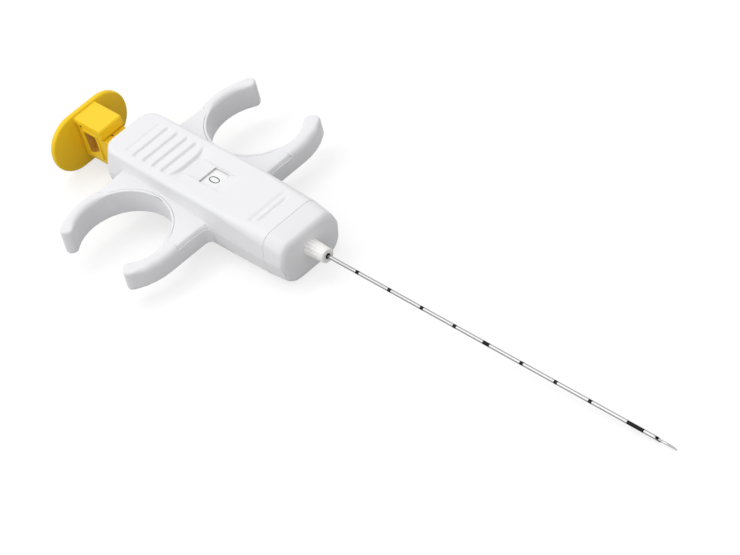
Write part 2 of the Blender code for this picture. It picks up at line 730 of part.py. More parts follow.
def make_needle_hub():
    """Fluted hub with a spigot in the nose and an open bore round the cannula."""
    steps = 4 * HUB_FLUTES
    rings = []
    for x, radius, flute in (
        (NOSE_X + GAP / 2, HUB_ROOT, HUB_FLUTE + HUB_FLARE),
        (NOSE_X + 0.15 * HUB_LENGTH, (2 * HUB_ROOT + HUB_TIP) / 3, HUB_FLUTE + 0.3 * HUB_FLARE),
        (NOSE_X + 0.35 * HUB_LENGTH, (HUB_ROOT + 2 * HUB_TIP) / 3, HUB_FLUTE),
        (HUB_X - HUB_FLUTE, HUB_TIP, HUB_FLUTE),
        (HUB_X, HUB_TIP - HUB_FLUTE, HUB_FLUTE),
    ):
        ring = []
        for k in range(steps):
            angle = 2 * math.pi * k / steps
            size = radius + (flute if k % 4 in (0, 1) else 0.0)
            ring.append(place(x, size * math.cos(angle), size * math.sin(angle)))
        rings.append(ring)
    hub = loft("needle_hub", rings)
    add(hub, rod("spigot", (NOSE_WALL_X + FIT, NOSE_X + MM), SPIGOT, 20))
    cut(hub, rod("bore", (NOSE_WALL_X - MM, HUB_X + MM), HUB_BORE, 16))
    return complete(hub, "hub_plastic")


def rail_span():
    """Where the catch rails start and end along X."""
    return (RAIL_REAR_X, BARB_REAR_X - HALF_STROKE + RAIL_LEAD)


def make_catch_rail(name, side):
    """Plate with two openings that hold the latch at half and at full stroke."""
    y_span = sorted((side * RAIL_Y, side * (RAIL_Y + RAIL_THICK)))
    height = (-RAIL_HALF_HEIGHT, RAIL_HALF_HEIGHT)
    rail = block(name, rail_span(), y_span, height)
    barb_front = BARB_REAR_X + BARB_LENGTH
    wide = (min(y_span) - MM, max(y_span) + MM)
    tall = (-LEG_HALF_HEIGHT - GAP, LEG_HALF_HEIGHT + GAP)
    for travel in (HALF_STROKE, STROKE):
        front = barb_front - travel + GAP
        cut(rail, block("catch", (front - BARB_LENGTH - 2 * GAP, front), wide, tall))
    return complete(rail, "steel")


def make_spring_seat():
    """Abutment of the spring, hung from the upper shell between its keepers."""
    x_span = (SEAT_X, SEAT_X + SEAT_THICK)
    stem_half = CHANNEL_INNER - GAP
    bar_z = (BRIDGE_LOW, GRIP_SECTION[3] - WALL - GAP)
    seat = block("spring_seat", x_span, (-stem_half, stem_half), (-CARRIAGE_LOW, sum(bar_z) / 2))
    bar_half = YOKE_HALF + GAP
    add(seat, block("bar", x_span, (-bar_half, bar_half), bar_z))
    cut(seat, rod("hole", (SEAT_X - MM, SEAT_X + SEAT_THICK + MM), TUBE_RADIUS + FIT))
    return complete(seat, "natural_plastic")


def make_support_tube():
    """Steel tube on the seat that keeps the stylet straight inside the spring."""
    x_span = (SEAT_X, SEAT_X + SEAT_THICK + TUBE_REACH)
    return complete(tube("support_tube", x_span, CANNULA_RADIUS, TUBE_RADIUS), "steel")


def make_front_bush():
    """Guide ring for the cannula in the boss of the nose cap."""
    x_span = (NOSE_WALL_X - BUSH_LENGTH, NOSE_WALL_X - FIT)
    return complete(tube("front_bush", x_span, CANNULA_RADIUS + RUN, BUSH_RADIUS), "natural_plastic")


def make_buffer_ring():
    """Elastic ring between the carriage and the bulkhead."""
    x_span = (CARRIAGE_FRONT_X + GAP, BULKHEAD_X - GAP)
    return complete(tube("buffer_ring", x_span, 1.5 * CANNULA_RADIUS, CARRIAGE_HALF - GAP), "rubber")


def make_stop_pin():
    """Dowel in the floor that runs in the plunger's slot."""
    low = INNER_FLOOR - 0.4 * WALL
    circle = arc((PIN_X, 0), PIN_RADIUS, 0, 360, 12)[:-1]
    pin = prism("stop_pin", circle, (low, -SPRING_RADIUS - SPRING_WIRE - 2 * GAP), "Z")
    return complete(pin, "steel")


def make_carriage():
    """Hub block, bridge and yoke with the two latch legs, drawn in as when they slide."""
    rear, front = CARRIAGE_REAR_X, CARRIAGE_FRONT_X
    half = CARRIAGE_HALF
    carriage = block("carriage", (rear, front), (-half, half), (-CARRIAGE_LOW, BRIDGE_TOP))
    strip_half = STRIP_HALF + 2 * FIT
    strip_x = (STRIP_REAR_X, STRIP_FRONT_X)
    add(carriage, block("bridge", strip_x, (-strip_half, strip_half), (BRIDGE_LOW, BRIDGE_TOP)))
    yoke_x = (rear, rear + YOKE_LENGTH)
    add(carriage, block("yoke", yoke_x, (-YOKE_HALF, YOKE_HALF), (BRIDGE_LOW, BRIDGE_TOP - FIT)))
    for side in (1, -1):
        cheek = sorted((side * (YOKE_HALF - CHEEK_THICK), side * YOKE_HALF))
        cheek_z = (-LEG_HALF_HEIGHT - FIT, (BRIDGE_LOW + BRIDGE_TOP) / 2)
        add(carriage, block("cheek", yoke_x, cheek, cheek_z))
        outer = YOKE_HALF - 2 * FIT
        inner = outer - LEG_THICK
        root = rear + YOKE_LENGTH / 8
        leg = [
            (root, inner),
            (root, outer),
            (BARB_REAR_X + BARB_LENGTH, outer),
            (BARB_REAR_X + BARB_LENGTH, RAIL_Y - GAP),
            (BARB_REAR_X, outer),
            (BARB_REAR_X, inner),
        ]
        plan = [(x, side * y) for x, y in leg]
        add(carriage, prism("leg", plan, (-LEG_HALF_HEIGHT, LEG_HALF_HEIGHT), "Z"))
    ferrule_front = front - FERRULE_STOP
    cut(carriage, rod("ferrule_bore", (rear - MM, ferrule_front), FERRULE_RADIUS + FIT))
    cut(carriage, rod("needle_bore", (rear, front + MM), CANNULA_RADIUS + FIT))
    return complete(carriage, "natural_plastic")


def make_cannula():
    """Steel tube with a bevelled end whose point is on the lower side."""
    outer = CANNULA_RADIUS
    x_span = (CARRIAGE_REAR_X + CANNULA_SUNK, TIP_X)
    cannula = tube("cannula", x_span, outer - CANNULA_WALL, outer)
    slope = CANNULA_BEVEL / (2 * outer)
    end = [
        (TIP_X + slope * MM, -outer - MM),
        (TIP_X + slope * MM, outer + MM),
        (TIP_X - slope * (2 * outer + MM), outer + MM),
    ]
    return complete(cut(cannula, prism("bevel", end, (-MM, MM), "Y")), "steel")


def make_cannula_ferrule():
    """Sleeve that fixes the cannula in the carriage."""
    x_span = (CARRIAGE_REAR_X + FERRULE_SUNK, CARRIAGE_FRONT_X - FERRULE_STOP - FIT)
    sleeve = tube("cannula_ferrule", x_span, CANNULA_RADIUS + FIT, FERRULE_RADIUS)
    return complete(sleeve, "natural_plastic")


def make_number_strip():
    """Strip under the window that shows how far the carriage is drawn back."""
    x_span = (STRIP_REAR_X, STRIP_FRONT_X)
    low = BRIDGE_TOP + GAP
    strip = block("number_strip", x_span, (-STRIP_HALF, STRIP_HALF), (low, low + STRIP_THICK))
    return complete(strip, "label_white")


def make_spring_washer():
    """Steel washer between the spring and the carriage."""
    x_span = (CARRIAGE_REAR_X - WASHER_THICK - GAP, CARRIAGE_REAR_X - GAP)
    washer = tube("spring_washer", x_span, 2 * CANNULA_RADIUS, SPRING_RADIUS + SPRING_WIRE)
    return complete(washer, "steel")


def make_firing_spring():
    """Compression spring with closed end turns, as a wire along a helix."""
    start = SEAT_X + SEAT_THICK + FIT + SPRING_WIRE
    end = CARRIAGE_REAR_X - WASHER_THICK - GAP - FIT - SPRING_WIRE
    closed = 2.1 * SPRING_WIRE
    open_pitch = (end - start - 2 * closed) / (SPRING_TURNS - 2)
    steps = 14
    curve = bpy.data.curves.new("firing_spring", "CURVE")
    curve.dimensions = "3D"
    curve.bevel_depth = SPRING_WIRE
    curve.bevel_resolution = 1
    curve.use_fill_caps = True
    points = []
    for i in range(SPRING_TURNS * steps + 1):
        turns = i / steps
        x = start + min(turns, 1) * closed
        x += min(max(turns - 1, 0), SPRING_TURNS - 2) * open_pitch
        x += max(turns - (SPRING_TURNS - 1), 0) * closed
        angle = 2 * math.pi * turns
        points.append(place(x, SPRING_RADIUS * math.cos(angle), SPRING_RADIUS * math.sin(angle)))
    spline = curve.splines.new("POLY")
    spline.points.add(len(points) - 1)
    for spot, point in zip(spline.points, points):
        spot.co = (*point, 1.0)
    wire = bpy.data.objects.new("firing_spring", curve)
    bpy.context.collection.objects.link(wire)
    curve.materials.append(finish("spring_steel"))
    return wire


def make_plunger_shaft():
    """Yellow core with a framed pocket on each side and the channel that straddles the spring."""
    core_x = (PAD_FRONT_X + GAP, CORE_FRONT_X)
    core_top = HOOD_SIDE_LOW - GAP
    outline = [
        (-CORE_LOW_HALF, -CORE_LOW),
        (CORE_LOW_HALF, -CORE_LOW),
        (CORE_TOP_HALF, core_top),
        (-CORE_TOP_HALF, core_top),
    ]
    shaft = prism("plunger_shaft", rounded(outline, [CORE_EDGE] * 4, [2] * 4), core_x, "X")
    notch_x = (HOOD_INNER_X - GAP, CORE_FRONT_X + MM)
    notch_z = (HOOD_LOW - GAP, core_top + MM)
    cut(shaft, block("notch", notch_x, (-2 * CORE_TOP_HALF, 2 * CORE_TOP_HALF), notch_z))
    tenon_half = HOOD_TOP_HALF - HOOD_WALL - GAP
    tenon_x = (core_x[0], HOOD_INNER_X - GAP)
    tenon_z = (0.0, HOOD_TOP - HOOD_WALL - GAP)
    add(shaft, block("tenon", tenon_x, (-tenon_half, tenon_half), tenon_z))
    channel_z = (-CHANNEL_LOW, CHANNEL_TOP)
    channel_x = (CORE_FRONT_X - MM, CHANNEL_FRONT_X)
    add(shaft, block("channel", channel_x, (-CHANNEL_HALF, CHANNEL_HALF), channel_z))
    inner = CHANNEL_INNER
    floor_top = CHANNEL_FLOOR_TOP
    trough_x = (CORE_FRONT_X, CHANNEL_FRONT_X + MM)
    cut(shaft, block("trough", trough_x, (-inner, inner), (floor_top, CHANNEL_TOP + MM)))
    dog_x = (CHANNEL_FRONT_X - DOG_LENGTH, CHANNEL_FRONT_X)
    dog = [
        (dog_x[0], floor_top + DOG_HEIGHT),
        (dog_x[0], floor_top - FIT),
        (dog_x[1], floor_top - FIT),
        (dog_x[1], floor_top + 0.3 * DOG_HEIGHT),
    ]
    add(shaft, prism("pull_dog", dog, (-0.5 * inner, 0.5 * inner), "Y"))
    slot_half = PIN_RADIUS + GAP
    slot_x = (PIN_X - slot_half, PIN_X + STROKE + slot_half)
    cut(shaft, block("slot", slot_x, (-slot_half, slot_half), (-CHANNEL_LOW - MM, floor_top + MM)))
    rim = pocket_outline(0.0, 0.3 * POCKET_RISE)
    hole = pocket_outline(POCKET_FRAME, POCKET_RISE)
    for side in (1, -1):
        rim_y = sorted((side * (CORE_LOW_HALF - 0.5 * MM), side * (CORE_TOP_HALF + POCKET_RIM)))
        add(shaft, prism("rim", rim, rim_y, "Y"))
        hole_y = sorted((side * (CORE_TOP_HALF - POCKET_DEPTH), side * (CORE_TOP_HALF + MM)))
        cut(shaft, prism("pocket", hole, hole_y, "Y"))
    holder_x = (CORE_FRONT_X - HOLDER_LENGTH + GAP, CORE_FRONT_X + MM)
    cut(shaft, rod("holder_bore", holder_x, HOLDER_RADIUS + FIT))
    return complete(shaft, "yellow_plastic")


def pocket_outline(inset, rise):
    """Side view of the pocket in the core: four-sided, with a bottom that rises to the front."""
    rear = PAD_FRONT_X + POCKET_REAR
    front = HOOD_FRONT_X - POCKET_FRONT
    top = HOOD_SIDE_LOW - POCKET_DROP
    low = -CORE_LOW + POCKET_SILL
    corners = [
        (rear + 0.7 * MM + inset, low + 1.6 * inset),
        (front + 0.2 * MM - inset, low + 1.6 * inset + rise),
        (front - inset, top - inset),
        (rear + inset, top - inset),
    ]
    return rounded(corners, [0.35 * MM] * 4, [2] * 4)


def make_thumb_pad():
    """Pill-shaped pad, dished for the thumb, with a hood that fits over the core."""
    half_straight = PAD_HALF - PAD_CORNER
    corners = [
        (PAD_HALF, PAD_CENTRE - PAD_HALF_HEIGHT),
        (PAD_HALF, PAD_CENTRE + PAD_HALF_HEIGHT),
        (-PAD_HALF, PAD_CENTRE + PAD_HALF_HEIGHT),
        (-PAD_HALF, PAD_CENTRE - PAD_HALF_HEIGHT),
    ]
    outline = rounded(corners, [PAD_CORNER] * 4, [9] * 4)

    def front_face(u, v):
        return 0.0

    def rear_face(u, v):
        return PAD_THICK

    def turn(u, v, w):
        return place(PAD_FRONT_X - w, u, v)

    rounds = [PAD_EDGE] * len(outline)
    pad = slab("thumb_pad", outline, front_face, rear_face, PAD_EDGE, rounds, turn)
    dish_radius = (half_straight ** 2 + PAD_DISH ** 2) / (2 * PAD_DISH)
    dish_x = PAD_FRONT_X - PAD_THICK - dish_radius + PAD_DISH
    circle = arc((0, 0), dish_radius, 0, 360, 96)[:-1]
    near = [(dish_x + u, v) for u, v in circle]
    reach = PAD_HALF_HEIGHT - 1.2 * MM
    dish_z = (PAD_CENTRE - reach, PAD_CENTRE + reach)
    cut(pad, prism("dish", near, dish_z, "Z"))
    hood = [
        (-HOOD_LOW_HALF, HOOD_LOW),
        (HOOD_LOW_HALF, HOOD_LOW),
        (HOOD_TOP_HALF, HOOD_TOP),
        (-HOOD_TOP_HALF, HOOD_TOP),
    ]
    rings = []
    for x, inset in (
        (PAD_FRONT_X - 0.5 * PAD_THICK, 0.0),
        (HOOD_FRONT_X - HOOD_EDGE, 0.0),
        (HOOD_FRONT_X, HOOD_EDGE),
    ):
        drawn = [(u - math.copysign(inset, u), v - (inset if v > HOOD_LOW else 0.0)) for u, v in hood]
        ring = rounded(drawn, [0.0, 0.0, HOOD_EDGE, HOOD_EDGE], [0, 0, 3, 3])
        rings.append([place(x, u, v) for u, v in ring])
    add(pad, loft("hood", rings))
    inner = HOOD_TOP_HALF - HOOD_WALL
    inside_x = (PAD_FRONT_X, HOOD_INNER_X)
    cut(pad, block("hollow", inside_x, (-inner, inner), (0.0, HOOD_TOP - HOOD_WALL)))
    wide = (-2 * HOOD_LOW_HALF, 2 * HOOD_LOW_HALF)
    cut(pad, block("below_skirt", inside_x, wide, (0.0, HOOD_SIDE_LOW)))
    return complete(pad, "yellow_plastic")


def make_stylet():
    """Steel rod with the sample notch near its end and a long bevel that faces up."""
    radius = STYLET_RADIUS
    tip = TIP_X + STYLET_PROUD
    rear = CORE_FRONT_X - HOLDER_LENGTH + 2 * GAP
    stylet = rod("stylet", (rear, tip), radius, 12)
    bevel = [
        (tip - STYLET_BEVEL, radius + MM),
        (tip - STYLET_BEVEL, radius),
        (tip + STYLET_BEVEL / 30, -radius - radius / 15),
        (tip + MM, -radius),
        (tip + MM, radius + MM),
    ]
    cut(stylet, prism("bevel", bevel, (-MM, MM), "Y"))
    notch_front = TIP_X - NOTCH_BACK
    notch_rear = notch_front - NOTCH_LENGTH
    floor = -0.15 * radius
    ramp = 2 * radius
    notch = [
        (notch_rear - ramp / 2, radius + MM),
        (notch_rear - ramp / 2, radius + 0.1 * MM),
        (notch_rear + ramp, floor),
        (notch_front - ramp, floor),
        (notch_front, radius + 0.1 * MM),
        (notch_front, radius + MM),
    ]
    cut(stylet, prism("notch", notch, (-MM, MM), "Y"))
    return complete(stylet, "steel")


def make_stylet_holder():
    """Sleeve that fixes the stylet in the plunger."""
    x_span = (CORE_FRONT_X - HOLDER_LENGTH + 2 * GAP, CORE_FRONT_X)
    holder = tube("stylet_holder", x_span, STYLET_RADIUS + FIT, HOLDER_RADIUS)
    return complete(holder, "natural_plastic")


def group_pieces(pieces, name, x):
    """Parent the pieces of one sliding body to an empty on its axis."""
    axis = bpy.data.objects.new(name, None)
    axis.empty_display_size = 4 * MM
    axis.location = place(x, 0, 0)
    bpy.context.collection.objects.link(axis)
    bpy.context.view_layer.update()
    for piece in pieces:
        piece.parent = axis
        piece.matrix_parent_inverse = axis.matrix_world.inverted()


def main():
    clear_scene()
    make_upper_shell()
    make_lower_shell()
    make_nose_cap()
    make_needle_hub()
    make_front_bush()
    make_spring_seat()
    make_support_tube()
    make_catch_rail("catch_rail_left", 1)
    make_catch_rail("catch_rail_right", -1)
    make_buffer_ring()
    make_stop_pin()
    carried = [
        make_carriage(),
        make_cannula(),
        make_cannula_ferrule(),
        make_number_strip(),
        make_spring_washer(),
        make_firing_spring(),
    ]
    group_pieces(carried, "carriage_slide", CARRIAGE_REAR_X)
    pushed = [
        make_plunger_shaft(),
        make_thumb_pad(),
        make_stylet(),
        make_stylet_holder(),
    ]
    group_pieces(pushed, "plunger_slide", PAD_FRONT_X)


main()
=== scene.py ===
# %% [markdown]
# # A core biopsy instrument, dressed for its portrait
#
# The object is a spring-fired needle in a white handle with two open finger rests, a yellow
# thumb plunger at the rear and a long steel needle with black depth marks at the front.
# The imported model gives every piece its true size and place. This script gives the pieces
# their finish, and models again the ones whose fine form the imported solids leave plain.

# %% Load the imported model
import math
from collections import namedtuple

import bmesh
import bpy
from mathutils import Matrix, Vector
from mathutils.bvhtree import BVHTree


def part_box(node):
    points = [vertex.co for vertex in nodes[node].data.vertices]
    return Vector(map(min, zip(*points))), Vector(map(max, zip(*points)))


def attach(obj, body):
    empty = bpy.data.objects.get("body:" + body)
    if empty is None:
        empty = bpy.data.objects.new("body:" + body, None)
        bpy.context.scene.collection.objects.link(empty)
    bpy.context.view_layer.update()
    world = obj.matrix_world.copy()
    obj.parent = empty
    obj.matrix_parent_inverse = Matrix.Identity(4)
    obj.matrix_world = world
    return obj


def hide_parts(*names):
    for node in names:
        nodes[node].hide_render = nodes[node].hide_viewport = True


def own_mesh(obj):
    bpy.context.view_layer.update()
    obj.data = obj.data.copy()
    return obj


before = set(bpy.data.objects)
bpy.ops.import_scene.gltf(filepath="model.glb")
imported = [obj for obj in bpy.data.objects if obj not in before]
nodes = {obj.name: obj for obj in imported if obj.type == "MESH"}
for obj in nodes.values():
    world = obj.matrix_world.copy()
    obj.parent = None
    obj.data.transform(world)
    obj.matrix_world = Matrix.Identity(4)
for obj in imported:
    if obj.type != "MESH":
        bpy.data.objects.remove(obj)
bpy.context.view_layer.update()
MM = 0.001
for name in sorted(nodes):
    low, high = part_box(name)
    size = [round((b - a) / MM, 2) for a, b in zip(low, high)]
    print("node", name, "measures", size, "mm")

# %% [markdown]
# ## Where the camera stands
#
# A product shot is often taken with a long lens from well back, so that the shape is hardly
# distorted. The camera here looks down at about 42 degrees from beyond the needle's side.
# Its axes are written as three unit vectors, which is the plainest way to place a camera that
# is also rolled a little about its own line of sight.

# %% Camera
CAMERA_PLACE = (0.64386, -0.40516, 0.65729)
CAMERA_RIGHT = (0.69207, 0.69414, -0.19800)
CAMERA_UP = (-0.38326, 0.58581, 0.71411)
CAMERA_BACK = (0.61168, -0.41833, 0.67145)
LENS_MM = 217.61
SENSOR_MM = 36.0
CLIP_START = 10.0 * MM


def make_camera():
    """Place the camera by its three axes and its position."""
    data = bpy.data.cameras.new("camera")
    data.lens = LENS_MM
    data.sensor_width = SENSOR_MM
    data.clip_start = CLIP_START
    camera = bpy.data.objects.new("camera", data)
    bpy.context.scene.collection.objects.link(camera)
    columns = zip(CAMERA_RIGHT, CAMERA_UP, CAMERA_BACK, CAMERA_PLACE)
    camera.matrix_world = Matrix([list(row) for row in columns] + [[0.0, 0.0, 0.0, 1.0]])
    bpy.context.scene.camera = camera
    return camera


camera = make_camera()
print("camera looks from", [round(v, 3) for v in camera.location])

# %% [markdown]
# ## A plain studio
#
# White plastic only reads against white paper if the light has a direction. Here the sky is
# an even, fairly weak white. One broad lamp behind the object lights its top and its far
# sides, and a second one lights the sides that face the camera. A round steel tube shows only
# a thin line of a round lamp, so a studio sets a strip panel across it, and the bright band
# down the middle of the needle is that panel's mirror image. The paper is pale grey where it
# lights the object, so undersides stay darker than the tops, and the Light Path node lifts it
# to white for the camera. The shadow stays, because the lift is added on top of the lit paper.

# %% Floor, sky and lamps
SKY_LEVEL = 0.60
PAPER_COLOUR = (0.34, 0.34, 0.34, 1.0)
PAPER_LIFT = 0.68
KEY_LEVEL = 0.68
KEY_FROM = Vector((-0.42, 0.40, 0.81))
KEY_ANGLE = math.radians(80)
STRIP_WATTS = 5.6
STRIP_PLACE = Vector((-0.607, -0.511, 0.829))
STRIP_WIDE = 0.32
STRIP_LONG = 2.2
NEEDLE_MIDDLE = Vector((0.09, 0.0, 0.006))
SIDE_LEVEL = 0.70
SIDE_FROM = Vector((0.48, -0.78, 0.40))
SIDE_ANGLE = math.radians(90)
FLOOR_HALF = 3.0
REST_GAP = 0.05 * MM
NOSE_ROUND = 2.5 * MM


def seen_directly(tree):
    """A value of 1 for what the camera, a mirror or clear glass sees, and 0 for light."""
    path = tree.nodes.new("ShaderNodeLightPath")
    seen = path.outputs["Is Camera Ray"]
    for ray in ("Is Glossy Ray", "Is Transmission Ray"):
        both = tree.nodes.new("ShaderNodeMath")
        both.operation = "MAXIMUM"
        tree.links.new(seen, both.inputs[0])
        tree.links.new(path.outputs[ray], both.inputs[1])
        seen = both.outputs[0]
    return seen


def make_sky():
    """An even white sky that lights weakly and looks white."""
    world = bpy.data.worlds.new("studio_sky")
    world.use_nodes = True
    tree = world.node_tree
    background = tree.nodes["Background"]
    background.inputs["Color"].default_value = (1.0, 1.0, 1.0, 1.0)
    level = tree.nodes.new("ShaderNodeMapRange")
    level.inputs["To Min"].default_value = SKY_LEVEL
    level.inputs["To Max"].default_value = 1.0
    tree.links.new(seen_directly(tree), level.inputs["Value"])
    tree.links.new(level.outputs[0], background.inputs["Strength"])
    bpy.context.scene.world = world
    return world


def floor_slope():
    """Where the paper lies under the part, and how far it tips for the part to rest on it."""
    pad_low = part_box("thumb_pad")[0]
    nose_low, nose_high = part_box("nose_cap")
    front = Vector((nose_high.x - NOSE_ROUND, 0.0, nose_low.z))
    rear = Vector((pad_low.x, 0.0, pad_low.z))
    angle = math.atan2(front.z - rear.z, front.x - rear.x)
    return rear - Vector((0.0, 0.0, REST_GAP)), angle


def make_floor():
    """A wide sheet of paper under the object, tipped as the part would tip to rest on it."""
    builder = bmesh.new()
    bmesh.ops.create_grid(builder, x_segments=2, y_segments=2, size=FLOOR_HALF)
    foot, angle = floor_slope()
    bmesh.ops.rotate(builder, verts=builder.verts, matrix=Matrix.Rotation(-angle, 3, "Y"))
    bmesh.ops.translate(builder, verts=builder.verts, vec=foot)
    mesh = bpy.data.meshes.new("paper")
    builder.to_mesh(mesh)
    builder.free()
    floor = bpy.data.objects.new("paper", mesh)
    bpy.context.scene.collection.objects.link(floor)
    material = bpy.data.materials.new("studio_paper")
    material.use_nodes = True
    tree = material.node_tree
    shader = tree.nodes["Principled BSDF"]
    shader.inputs["Base Color"].default_value = PAPER_COLOUR
    shader.inputs["Roughness"].default_value = 1.0
    shader.inputs["Specular IOR Level"].default_value = 0.0
    shader.inputs["Emission Color"].default_value = (1.0, 1.0, 1.0, 1.0)
    lift = tree.nodes.new("ShaderNodeMath")
    lift.operation = "MULTIPLY"
    lift.inputs[1].default_value = PAPER_LIFT
    tree.links.new(seen_directly(tree), lift.inputs[0])
    tree.links.new(lift.outputs[0], shader.inputs["Emission Strength"])
    mesh.materials.append(material)
    return floor


def make_lamp(name, level, source, angle):
    """A far lamp that shines from a direction, soft as a panel of that angle."""
    data = bpy.data.lights.new(name, "SUN")
    data.energy = level
    data.angle = angle
    lamp = bpy.data.objects.new(name, data)
    lamp.rotation_mode = "QUATERNION"
    lamp.rotation_quaternion = source.to_track_quat("Z", "Y")
    bpy.context.scene.collection.objects.link(lamp)
    return lamp


def make_strip():
    """A long narrow panel across the needle, where the needle mirrors it to the camera."""
    data = bpy.data.lights.new("strip", "AREA")
    data.shape = "RECTANGLE"
    data.size = STRIP_LONG
    data.size_y = STRIP_WIDE
    data.energy = STRIP_WATTS
    lamp = bpy.data.objects.new("strip", data)
    back = (STRIP_PLACE - NEEDLE_MIDDLE).normalized()
    along = Vector((1.0, 0.0, 0.0)).cross(back).normalized()
    across = back.cross(along)
    turn = Matrix((along, across, back)).transposed().to_4x4()
    lamp.matrix_world = Matrix.Translation(STRIP_PLACE) @ turn
    lamp.visible_camera = False
    bpy.context.scene.collection.objects.link(lamp)
    return lamp


bpy.context.scene.view_settings.view_transform = "Standard"
make_sky()
make_floor()
make_lamp("key", KEY_LEVEL, KEY_FROM, KEY_ANGLE)
make_strip()
make_lamp("side", SIDE_LEVEL, SIDE_FROM, SIDE_ANGLE)
print("sky level", SKY_LEVEL, "key", KEY_LEVEL, "strip", STRIP_WATTS, "W")

# %% [markdown]
# ## Finishes
#
# Injection-moulded plastic is never quite flat. The mould's steel leaves a fine satin grain,
# and the plastic sinks a little where the wall behind it is thick. Both are noise at different
# sizes, so one node group makes them for every plastic, each with its own values.

# %% Shared finish: moulded grain
SINK_SCALE = 90.0
CLOUD_SCALE = 45.0
ROUGH_SWING = 0.12
GRAIN_SHARE = 0.12
BUMP_STRENGTH = 0.10
BUMP_DISTANCE = 0.05 * MM
FINE_GRAIN = 5200.0
MIDDLE_GRAIN = 4000.0
NYLON_GRAIN = 3800.0
COARSE_GRAIN = 2500.0
COLOUR_DRIFT = 0.03
PLAIN_SHINE = 0.5


def new_group(name, inputs, outputs):
    """A node group with number inputs and outputs of the kinds given."""
    group = bpy.data.node_groups.new(name, "ShaderNodeTree")
    for label, kind, value in inputs:
        socket = group.interface.new_socket(label, in_out="INPUT", socket_type=kind)
        socket.default_value = value
    for label, kind in outputs:
        group.interface.new_socket(label, in_out="OUTPUT", socket_type=kind)
    start = group.nodes.new("NodeGroupInput")
    end = group.nodes.new("NodeGroupOutput")
    return group, start, end


def math_node(tree, operation, first, second):
    """A Math node whose inputs are sockets or numbers."""
    node = tree.nodes.new("ShaderNodeMath")
    node.operation = operation
    for socket, value in zip(node.inputs, (first, second)):
        if isinstance(value, (int, float)):
            socket.default_value = value
        else:
            tree.links.new(value, socket)
    return node.outputs[0]


def noise_node(tree, where, scale, detail):
    """A noise pattern on given coordinates, centred on 0.5."""
    node = tree.nodes.new("ShaderNodeTexNoise")
    node.inputs["Detail"].default_value = detail
    tree.links.new(where, node.inputs["Vector"])
    if isinstance(scale, (int, float)):
        node.inputs["Scale"].default_value = scale
    else:
        tree.links.new(scale, node.inputs["Scale"])
    return node.outputs["Fac"]


def moulded_group():
    """Grain, sink marks and faint colour drift of a moulded plastic."""
    group, start, end = new_group(
        "moulded_grain",
        [
            ("Colour", "NodeSocketColor", (0.8, 0.8, 0.8, 1.0)),
            ("Drift", "NodeSocketFloat", COLOUR_DRIFT),
            ("Roughness", "NodeSocketFloat", 0.4),
            ("Grain Scale", "NodeSocketFloat", MIDDLE_GRAIN),
        ],
        [
            ("Colour", "NodeSocketColor"),
            ("Roughness", "NodeSocketFloat"),
            ("Height", "NodeSocketFloat"),
        ],
    )
    where = group.nodes.new("ShaderNodeTexCoord").outputs["Object"]
    grain = noise_node(group, where, start.outputs["Grain Scale"], 2.0)
    sink = noise_node(group, where, SINK_SCALE, 1.0)
    cloud = noise_node(group, where, CLOUD_SCALE, 3.0)
    swing = math_node(group, "SUBTRACT", cloud, 0.5)
    swing = math_node(group, "MULTIPLY", swing, start.outputs["Drift"])
    shade = math_node(group, "ADD", swing, 1.0)
    tint = group.nodes.new("ShaderNodeVectorMath")
    tint.operation = "SCALE"
    group.links.new(start.outputs["Colour"], tint.inputs[0])
    group.links.new(shade, tint.inputs["Scale"])
    group.links.new(tint.outputs[0], end.inputs["Colour"])
    rough = math_node(group, "SUBTRACT", sink, 0.5)
    rough = math_node(group, "MULTIPLY", rough, ROUGH_SWING)
    rough = math_node(group, "ADD", rough, start.outputs["Roughness"])
    group.links.new(rough, end.inputs["Roughness"])
    fine = math_node(group, "MULTIPLY", grain, GRAIN_SHARE)
    height = math_node(group, "ADD", fine, sink)
    group.links.new(height, end.inputs["Height"])
    return group


MOULDED = moulded_group()


def plastic(name, colour, roughness, grain_scale, shine=PLAIN_SHINE):
    """A moulded plastic with its own colour, gloss and grain."""
    material = bpy.data.materials.new(name)
    material.use_nodes = True
    tree = material.node_tree
    shader = tree.nodes["Principled BSDF"]
    shader.inputs["Specular IOR Level"].default_value = shine
    surface = tree.nodes.new("ShaderNodeGroup")
    surface.node_tree = MOULDED
    surface.inputs["Colour"].default_value = (*colour, 1.0)
    surface.inputs["Drift"].default_value = COLOUR_DRIFT
    surface.inputs["Roughness"].default_value = roughness
    surface.inputs["Grain Scale"].default_value = grain_scale
    bump = tree.nodes.new("ShaderNodeBump")
    bump.inputs["Strength"].default_value = BUMP_STRENGTH
    bump.inputs["Distance"].default_value = BUMP_DISTANCE
    tree.links.new(surface.outputs["Colour"], shader.inputs["Base Color"])
    tree.links.new(surface.outputs["Roughness"], shader.inputs["Roughness"])
    tree.links.new(surface.outputs["Height"], bump.inputs["Height"])
    tree.links.new(bump.outputs["Normal"], shader.inputs["Normal"])
    return material


WHITE_SHELL = plastic("white_shell", (0.80, 0.80, 0.815), 0.40, FINE_GRAIN)
HUB_WHITE = plastic("hub_white", (0.88, 0.87, 0.855), 0.45, FINE_GRAIN)
YELLOW = plastic("plunger_yellow", (0.95, 0.625, 0.02), 0.42, FINE_GRAIN, shine=0.2)
NATURAL = plastic("natural_nylon", (0.74, 0.73, 0.68), 0.5, NYLON_GRAIN)
LABEL = plastic("label_film", (0.88, 0.88, 0.88), 0.55, COARSE_GRAIN)
RUBBER = plastic("buffer_rubber", (0.03, 0.03, 0.035), 0.8, COARSE_GRAIN)
print("plastics made")

